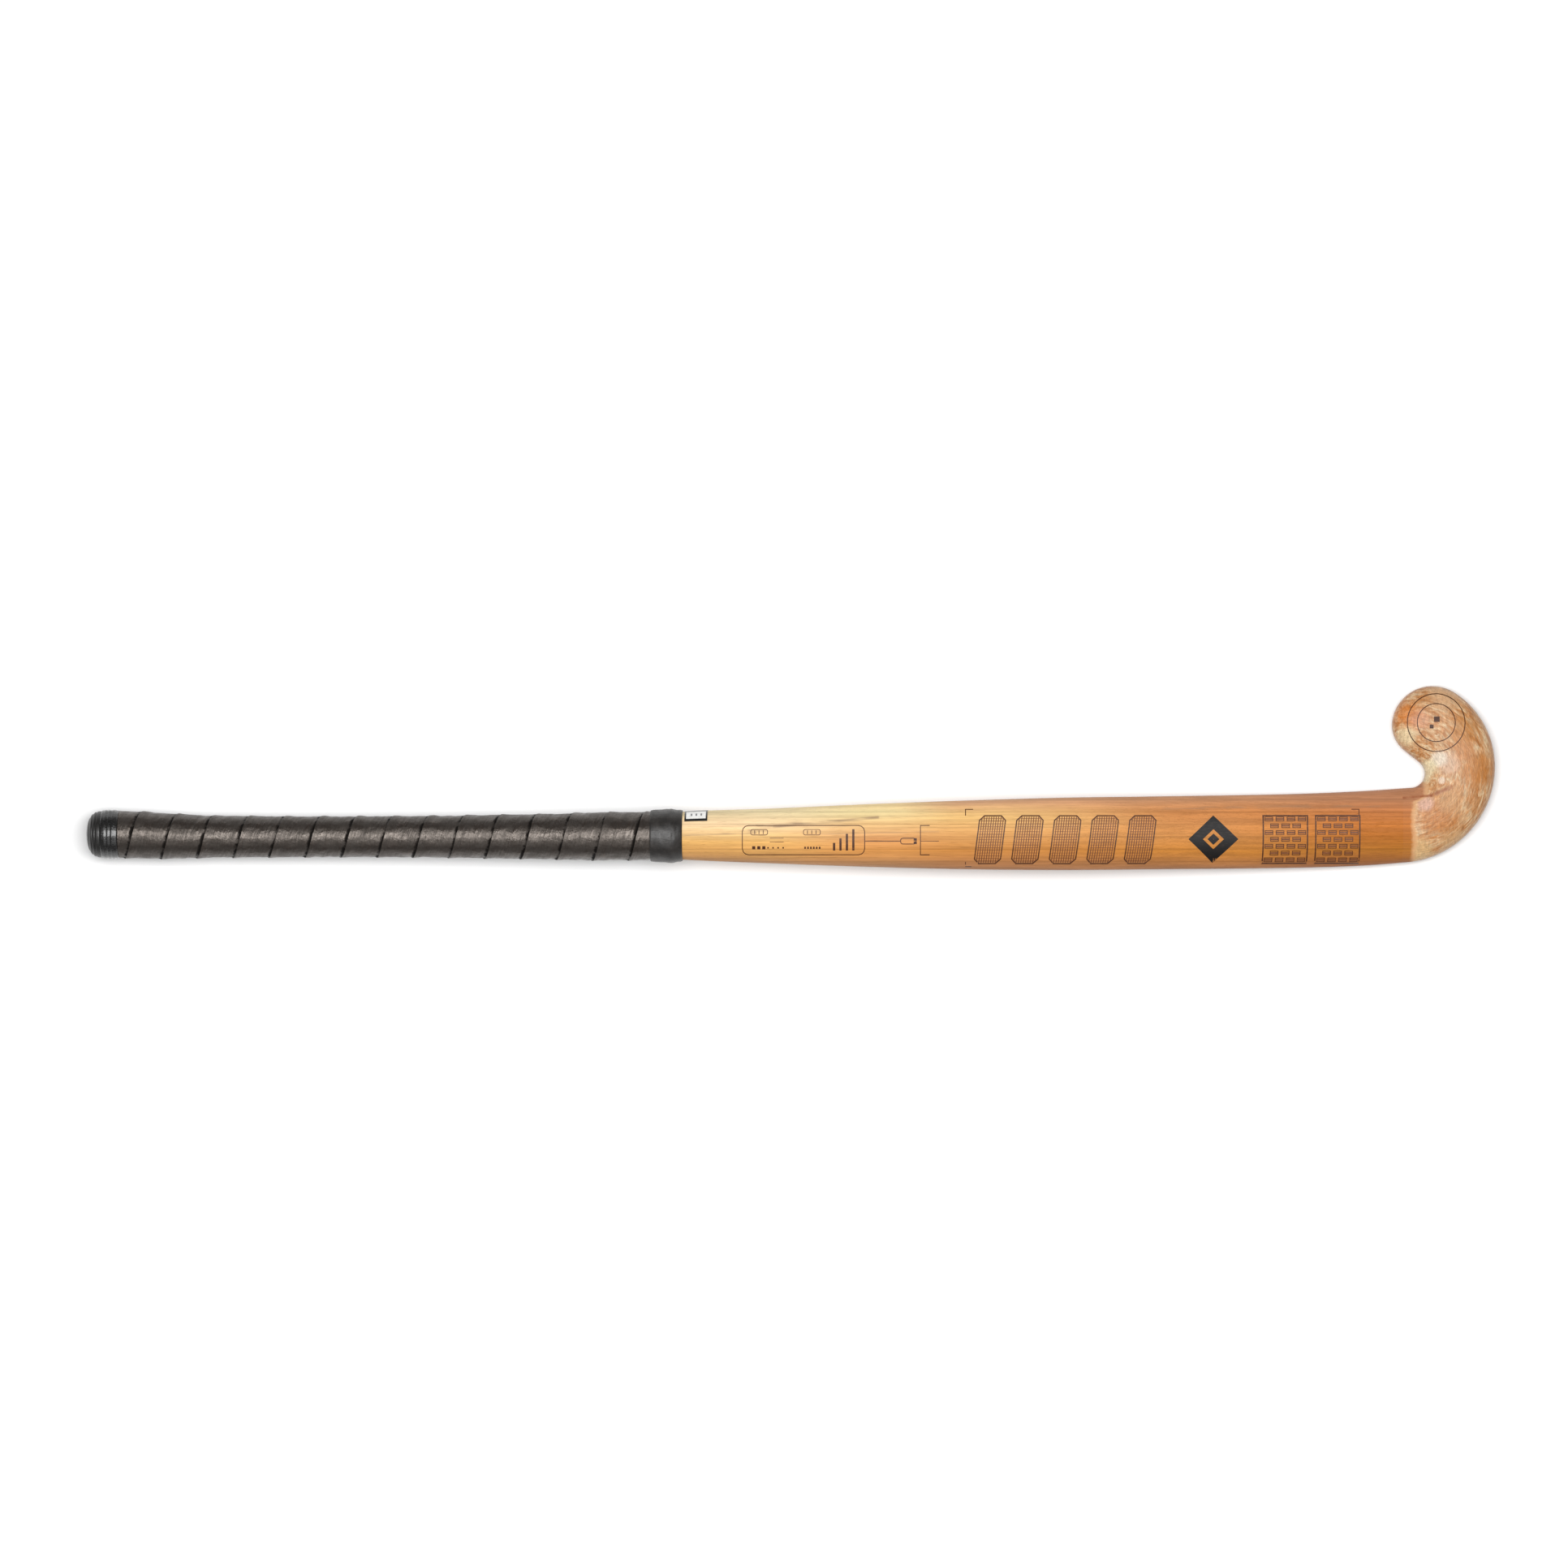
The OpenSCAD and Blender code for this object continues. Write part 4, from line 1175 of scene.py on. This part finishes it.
def plate_print(material):
    """The plate near the grip: a rounded frame with bars, a scale of squares and a pointer."""
    u0, v0, u1, v1 = PLATE
    shape = Shape()
    ink_line(shape, rectangle(u0, v0, u1, v1, 4.0), HAIRLINE, closed=True)
    for u in (u0 + 5.5, u0 + 40):
        ink_line(shape, rectangle(u, 1.2, u + 11, 4.8, 1.2), 0.45, closed=True)
        for k in range(3):
            ink_line(shape, [(u + 2.6 + 2.8 * k, 1.8), (u + 2.6 + 2.8 * k, 4.2)], 0.5)
    for k in range(7):
        size = 2.1 if k < 3 else 1.0
        at = u0 + 6.4 + 3.3 * k
        ink_line(shape, [(at, -7.2), (at + size, -7.2)], size)
    for v in (-0.8, -3.4):
        ink_line(shape, [(u0 + 18, v), (u0 + 27, v)], 0.35)
    for k in range(6):
        at = u0 + 40.5 + 1.9 * k
        ink_line(shape, [(at, -7.2), (at + 1.1, -7.2)], 1.5)
    for k, height in enumerate((5, 8, 11, 14)):
        at = u0 + 60 + 4.2 * k
        ink_line(shape, [(at, -9), (at, -9 + height)], 1.5)
    middle = (v0 + v1) / 2 - 0.6
    tip, bracket = SCALE_FROM + 10, SCALE_FROM + 13
    ink_line(shape, [(u1, middle), (SCALE_FROM, middle)], HAIRLINE)
    ink_line(shape, rectangle(SCALE_FROM, middle - 1.9, tip, middle + 1.9, 1.5), HAIRLINE, closed=True)
    for side in (-1.1, 1.1):
        ink_line(shape, [(tip - 1.4, middle + side), (tip + 0.6, middle + side)], 1.7)
    ink_line(shape, [(bracket + 6, v1), (bracket, v1), (bracket, v0), (bracket + 6, v0)], HAIRLINE)
    ink_line(shape, [(bracket, middle), (SCALE_TO, middle)], 0.4)
    return shape.build("print_plate", material)


def corner_print(material):
    """Small corner marks at both ends of the blade's print."""
    shape = Shape()
    for u, way in zip(CORNERS_AT, (1, -1)):
        ink_line(shape, [(u + way * 5, 18.0), (u, 18.0), (u, PRINT_HIGH)], HAIRLINE)
    start = CORNERS_AT[0]
    ink_line(shape, [(start, -16.4), (start, -19.6), (start + 4, -19.6)], HAIRLINE)
    return shape.build("print_corners", material)


def block_print(outline_ink, hatch_ink):
    """Five slanted blocks with a fine hatch."""
    pitch = (BLOCK_TO - BLOCK_FROM) / BLOCKS
    slant, cut = 4.0, 3.0
    wide, height = pitch - 3.4 - slant, PRINT_HIGH - PRINT_LOW
    trim, side = cut / height, cut / wide
    rows, columns = 18, 11
    outlines, hatching = Shape(), Shape()
    for k in range(BLOCKS):
        def leaning(across, up, u=BLOCK_FROM + pitch * k):
            return (u + across * wide + slant * up, PRINT_LOW + height * up)

        corners = [leaning(side, 0), leaning(1 - side, 0), leaning(1, trim), leaning(1, 1 - trim),
                   leaning(1 - side, 1), leaning(side, 1), leaning(0, 1 - trim), leaning(0, trim)]
        ink_line(outlines, corners, 0.8, closed=True)
        for j in range(1, columns):
            across = j / columns
            inset = max(0, trim - min(across, 1 - across) * trim / side)
            ink_line(hatching, [leaning(across, inset + 0.02), leaning(across, 0.98 - inset)], 0.62)
        for j in range(1, rows):
            ink_line(hatching, [leaning(0.05, j / rows), leaning(0.95, j / rows)], 0.3)
    outlines.build("print_block_outlines", outline_ink)
    hatching.build("print_block_hatch", hatch_ink)


def emblem_print(material):
    """A solid diamond round a small one."""
    half_long, half_high = 16.5, 15.6
    shape = Shape()
    diamond = [(half_long, 0), (0, half_high), (-half_long, 0), (0, -half_high)]
    ink_band(shape, EMBLEM_AT, diamond, 0.42)
    ink_band(shape, EMBLEM_AT, [(x * 0.24, y * 0.24) for x, y in diamond], 0.05, layers=2)
    return shape.build("print_diamond", material)


def mosaic_print(outline_ink, hatch_ink):
    """Two squares of framed bars, laid like bricks."""
    outlines, hatching = Shape(), Shape()
    rows, columns = 7, 4
    tall, wide = (PRINT_HIGH - PRINT_LOW) / rows, MOSAIC_LENGTH / columns
    for u0 in MOSAICS_FROM:
        u1 = u0 + MOSAIC_LENGTH
        ink_line(outlines, rectangle(u0, PRINT_LOW, u1, PRINT_HIGH), 0.9, closed=True)
        for row in range(rows):
            lean = 0.5 if row % 2 else 0.0
            for column in range(columns):
                left = u0 + wide * (column + lean) + 1.2
                right = min(left + wide - 2.2, u1 - 1.2)
                low = PRINT_LOW + tall * row + 1.1
                if right - left > 1.5:
                    box = rectangle(left, low, right, low + tall - 2.0)
                    ink_line(outlines, box, 0.5, closed=True)
                    ink_line(hatching, [(left, low + tall / 2 - 1), (right, low + tall / 2 - 1)], 1.1)
    outlines.build("print_mosaic_frames", outline_ink)
    hatching.build("print_mosaic_bars", hatch_ink)


def toe_print(material):
    """Two thin rings and two small squares on the toe."""
    u, v = RINGS_AT
    shape = Shape()
    for radius in RING_RADII:
        ink_line(shape, circle(u, v, radius), 0.6, closed=True)
    ink_line(shape, [(u - 1.6, v + 2.2), (u + 2.2, v + 2.2)], 3.6)
    ink_line(shape, [(u - 4.4, v - 2.6), (u - 1.8, v - 2.6)], 2.6)
    return shape.build("print_toe_rings", material)


# ---- the stick ----
def build_stick():
    red_strips = (1, LAMINATIONS)
    wood = wood_material("lacquered_wood")
    sections = wood_sections()
    for i in range(1, LAMINATIONS + 1):
        slot = "blade_wood_red" if i in red_strips else "blade_wood"
        wood_strip(i, sections, wood, slot)
    head_skin(head_material())
    grip_ribbon(leather_material())
    collar(dark_material("collar_tape_look", (26, 23, 21), (46, 42, 39), 0.36, 0.5, 0.06, 1.0, 0.25))
    butt_end(dark_material("cap_rubber_look", (18, 17, 16), (34, 32, 30), 0.34, 0.5, 0.1, 1.4, 0.12))
    butt_band(dark_material("band_tape_look", (14, 13, 13), (26, 25, 24), 0.2, 0.34, 0.5, 0.8, 0.3))
    black_film = film_material("black_film", (30, 29, 28), (70, 66, 62))
    white_film = film_material("white_film", (246, 245, 242), (196, 190, 180))
    grey_film = film_material("grey_film", (120, 120, 122), (160, 158, 152))
    start, end = STICKER_SPAN
    sticker_patch("size_sticker_edge", black_film, STICKER_SPAN, (-28, 54), (0.08, 0.28), ["size_label"])
    sticker_patch("size_sticker", white_film, (start + 1.1, end - 1.1), (18, 47), (0.2, 0.36))
    for k in range(3):
        bar = start + 4 + 3.2 * k
        sticker_patch(f"size_sticker_bar_{k + 1}", grey_film, (bar, bar + 1.1), (29, 38), (0.3, 0.42))


def build_print():
    dark = ink_material("burnt_print", (72, 40, 22), (142, 88, 50))
    soft = ink_material("fine_print", (112, 68, 44), (170, 110, 68))
    solid = ink_material("solid_print", (20, 17, 16), (52, 38, 30))
    plate_print(dark)
    corner_print(dark)
    block_print(dark, soft)
    emblem_print(solid)
    mosaic_print(dark, soft)
    toe_print(dark)


def dress_inner_nodes():
    """The CAD pieces inside the handle keep their shape and get their own material."""
    looks = {
        "handle_cane": inner_material("cane_grain", (196, 160, 104), (228, 198, 146), (0.02, 2.0, 2.0)),
        "damping_rubber": inner_material("rubber_strip", (30, 30, 30), (52, 51, 50), (0.8, 0.8, 0.8)),
        "binding_twine": inner_material("wound_twine", (150, 122, 82), (204, 178, 132), (2.5, 0.2, 0.2)),
        "cushion_foam": inner_material("foam_tape", (52, 52, 54), (84, 84, 86), (1.2, 1.2, 1.2)),
    }
    for row in frame["record"]["subparts"]:
        if row["material_slot"] in looks:
            mesh = frame["nodes"][row["node"]].data
            mesh.materials.clear()
            mesh.materials.append(looks[row["material_slot"]])


# ---- floor, light and camera ----
def build_floor():
    material = bpy.data.materials.new("pale_floor")
    material.use_nodes = True
    shader = material.node_tree.nodes["Principled BSDF"]
    shader.inputs["Base Color"].default_value = (0.86, 0.86, 0.86, 1)
    shader.inputs["Roughness"].default_value = 0.9
    reach = 12
    mesh = bpy.data.meshes.new("floor")
    corners = [(-reach, -reach, 0), (reach, -reach, 0), (reach, reach, 0), (-reach, reach, 0)]
    mesh.from_pydata(corners, [], [(0, 1, 2, 3)])
    mesh.materials.append(material)
    floor = bpy.data.objects.new("floor", mesh)
    floor.location.z = CAD_BOX[0].z - 0.0005
    bpy.context.scene.collection.objects.link(floor)


def area_light(name, size, place_at, power):
    """A soft box that looks at the middle of the stick."""
    lamp = bpy.data.lights.new(name, "AREA")
    lamp.shape = "RECTANGLE"
    lamp.size, lamp.size_y = size
    lamp.energy = power
    made = bpy.data.objects.new(name, lamp)
    made.location = place_at
    made.rotation_euler = (-Vector(place_at)).to_track_quat("-Z", "Y").to_euler()
    made.visible_camera = False
    bpy.context.scene.collection.objects.link(made)


def build_lights():
    area_light("soft_box", (2.2, 1.05), (0, 0.14, 2.2), 66)
    area_light("fill", (3.0, 1.0), (0, -1.6, 2.0), 8)
    world = bpy.data.worlds.new("studio")
    world.use_nodes = True
    world.node_tree.nodes["Background"].inputs["Color"].default_value = (1, 1, 1, 1)
    world.node_tree.nodes["Background"].inputs["Strength"].default_value = 0.2
    bpy.context.scene.world = world
    bpy.context.scene.view_settings.view_transform = "Standard"


def build_camera():
    """Straight above the stick, with the toe towards the top of the picture and a little off its centre."""
    low, high = CAD_BOX
    middle = (low + high) / 2
    lens, sensor = 200, 36
    picture_width = 1.1117 * (high.x - low.x)
    off_centre = 0.0043 * (high.x - low.x)
    off_along = 0.0053 * (high.x - low.x)
    camera = bpy.data.cameras.new("camera")
    camera.type = "PERSP"
    camera.lens, camera.sensor_width = lens, sensor
    made = bpy.data.objects.new("camera", camera)
    made.location = (middle.x - off_along, middle.y - off_centre, middle.z + picture_width * lens / sensor)
    bpy.context.scene.collection.objects.link(made)
    bpy.context.scene.camera = made


build_camera()
build_lights()
build_floor()
build_stick()
build_print()
dress_inner_nodes()
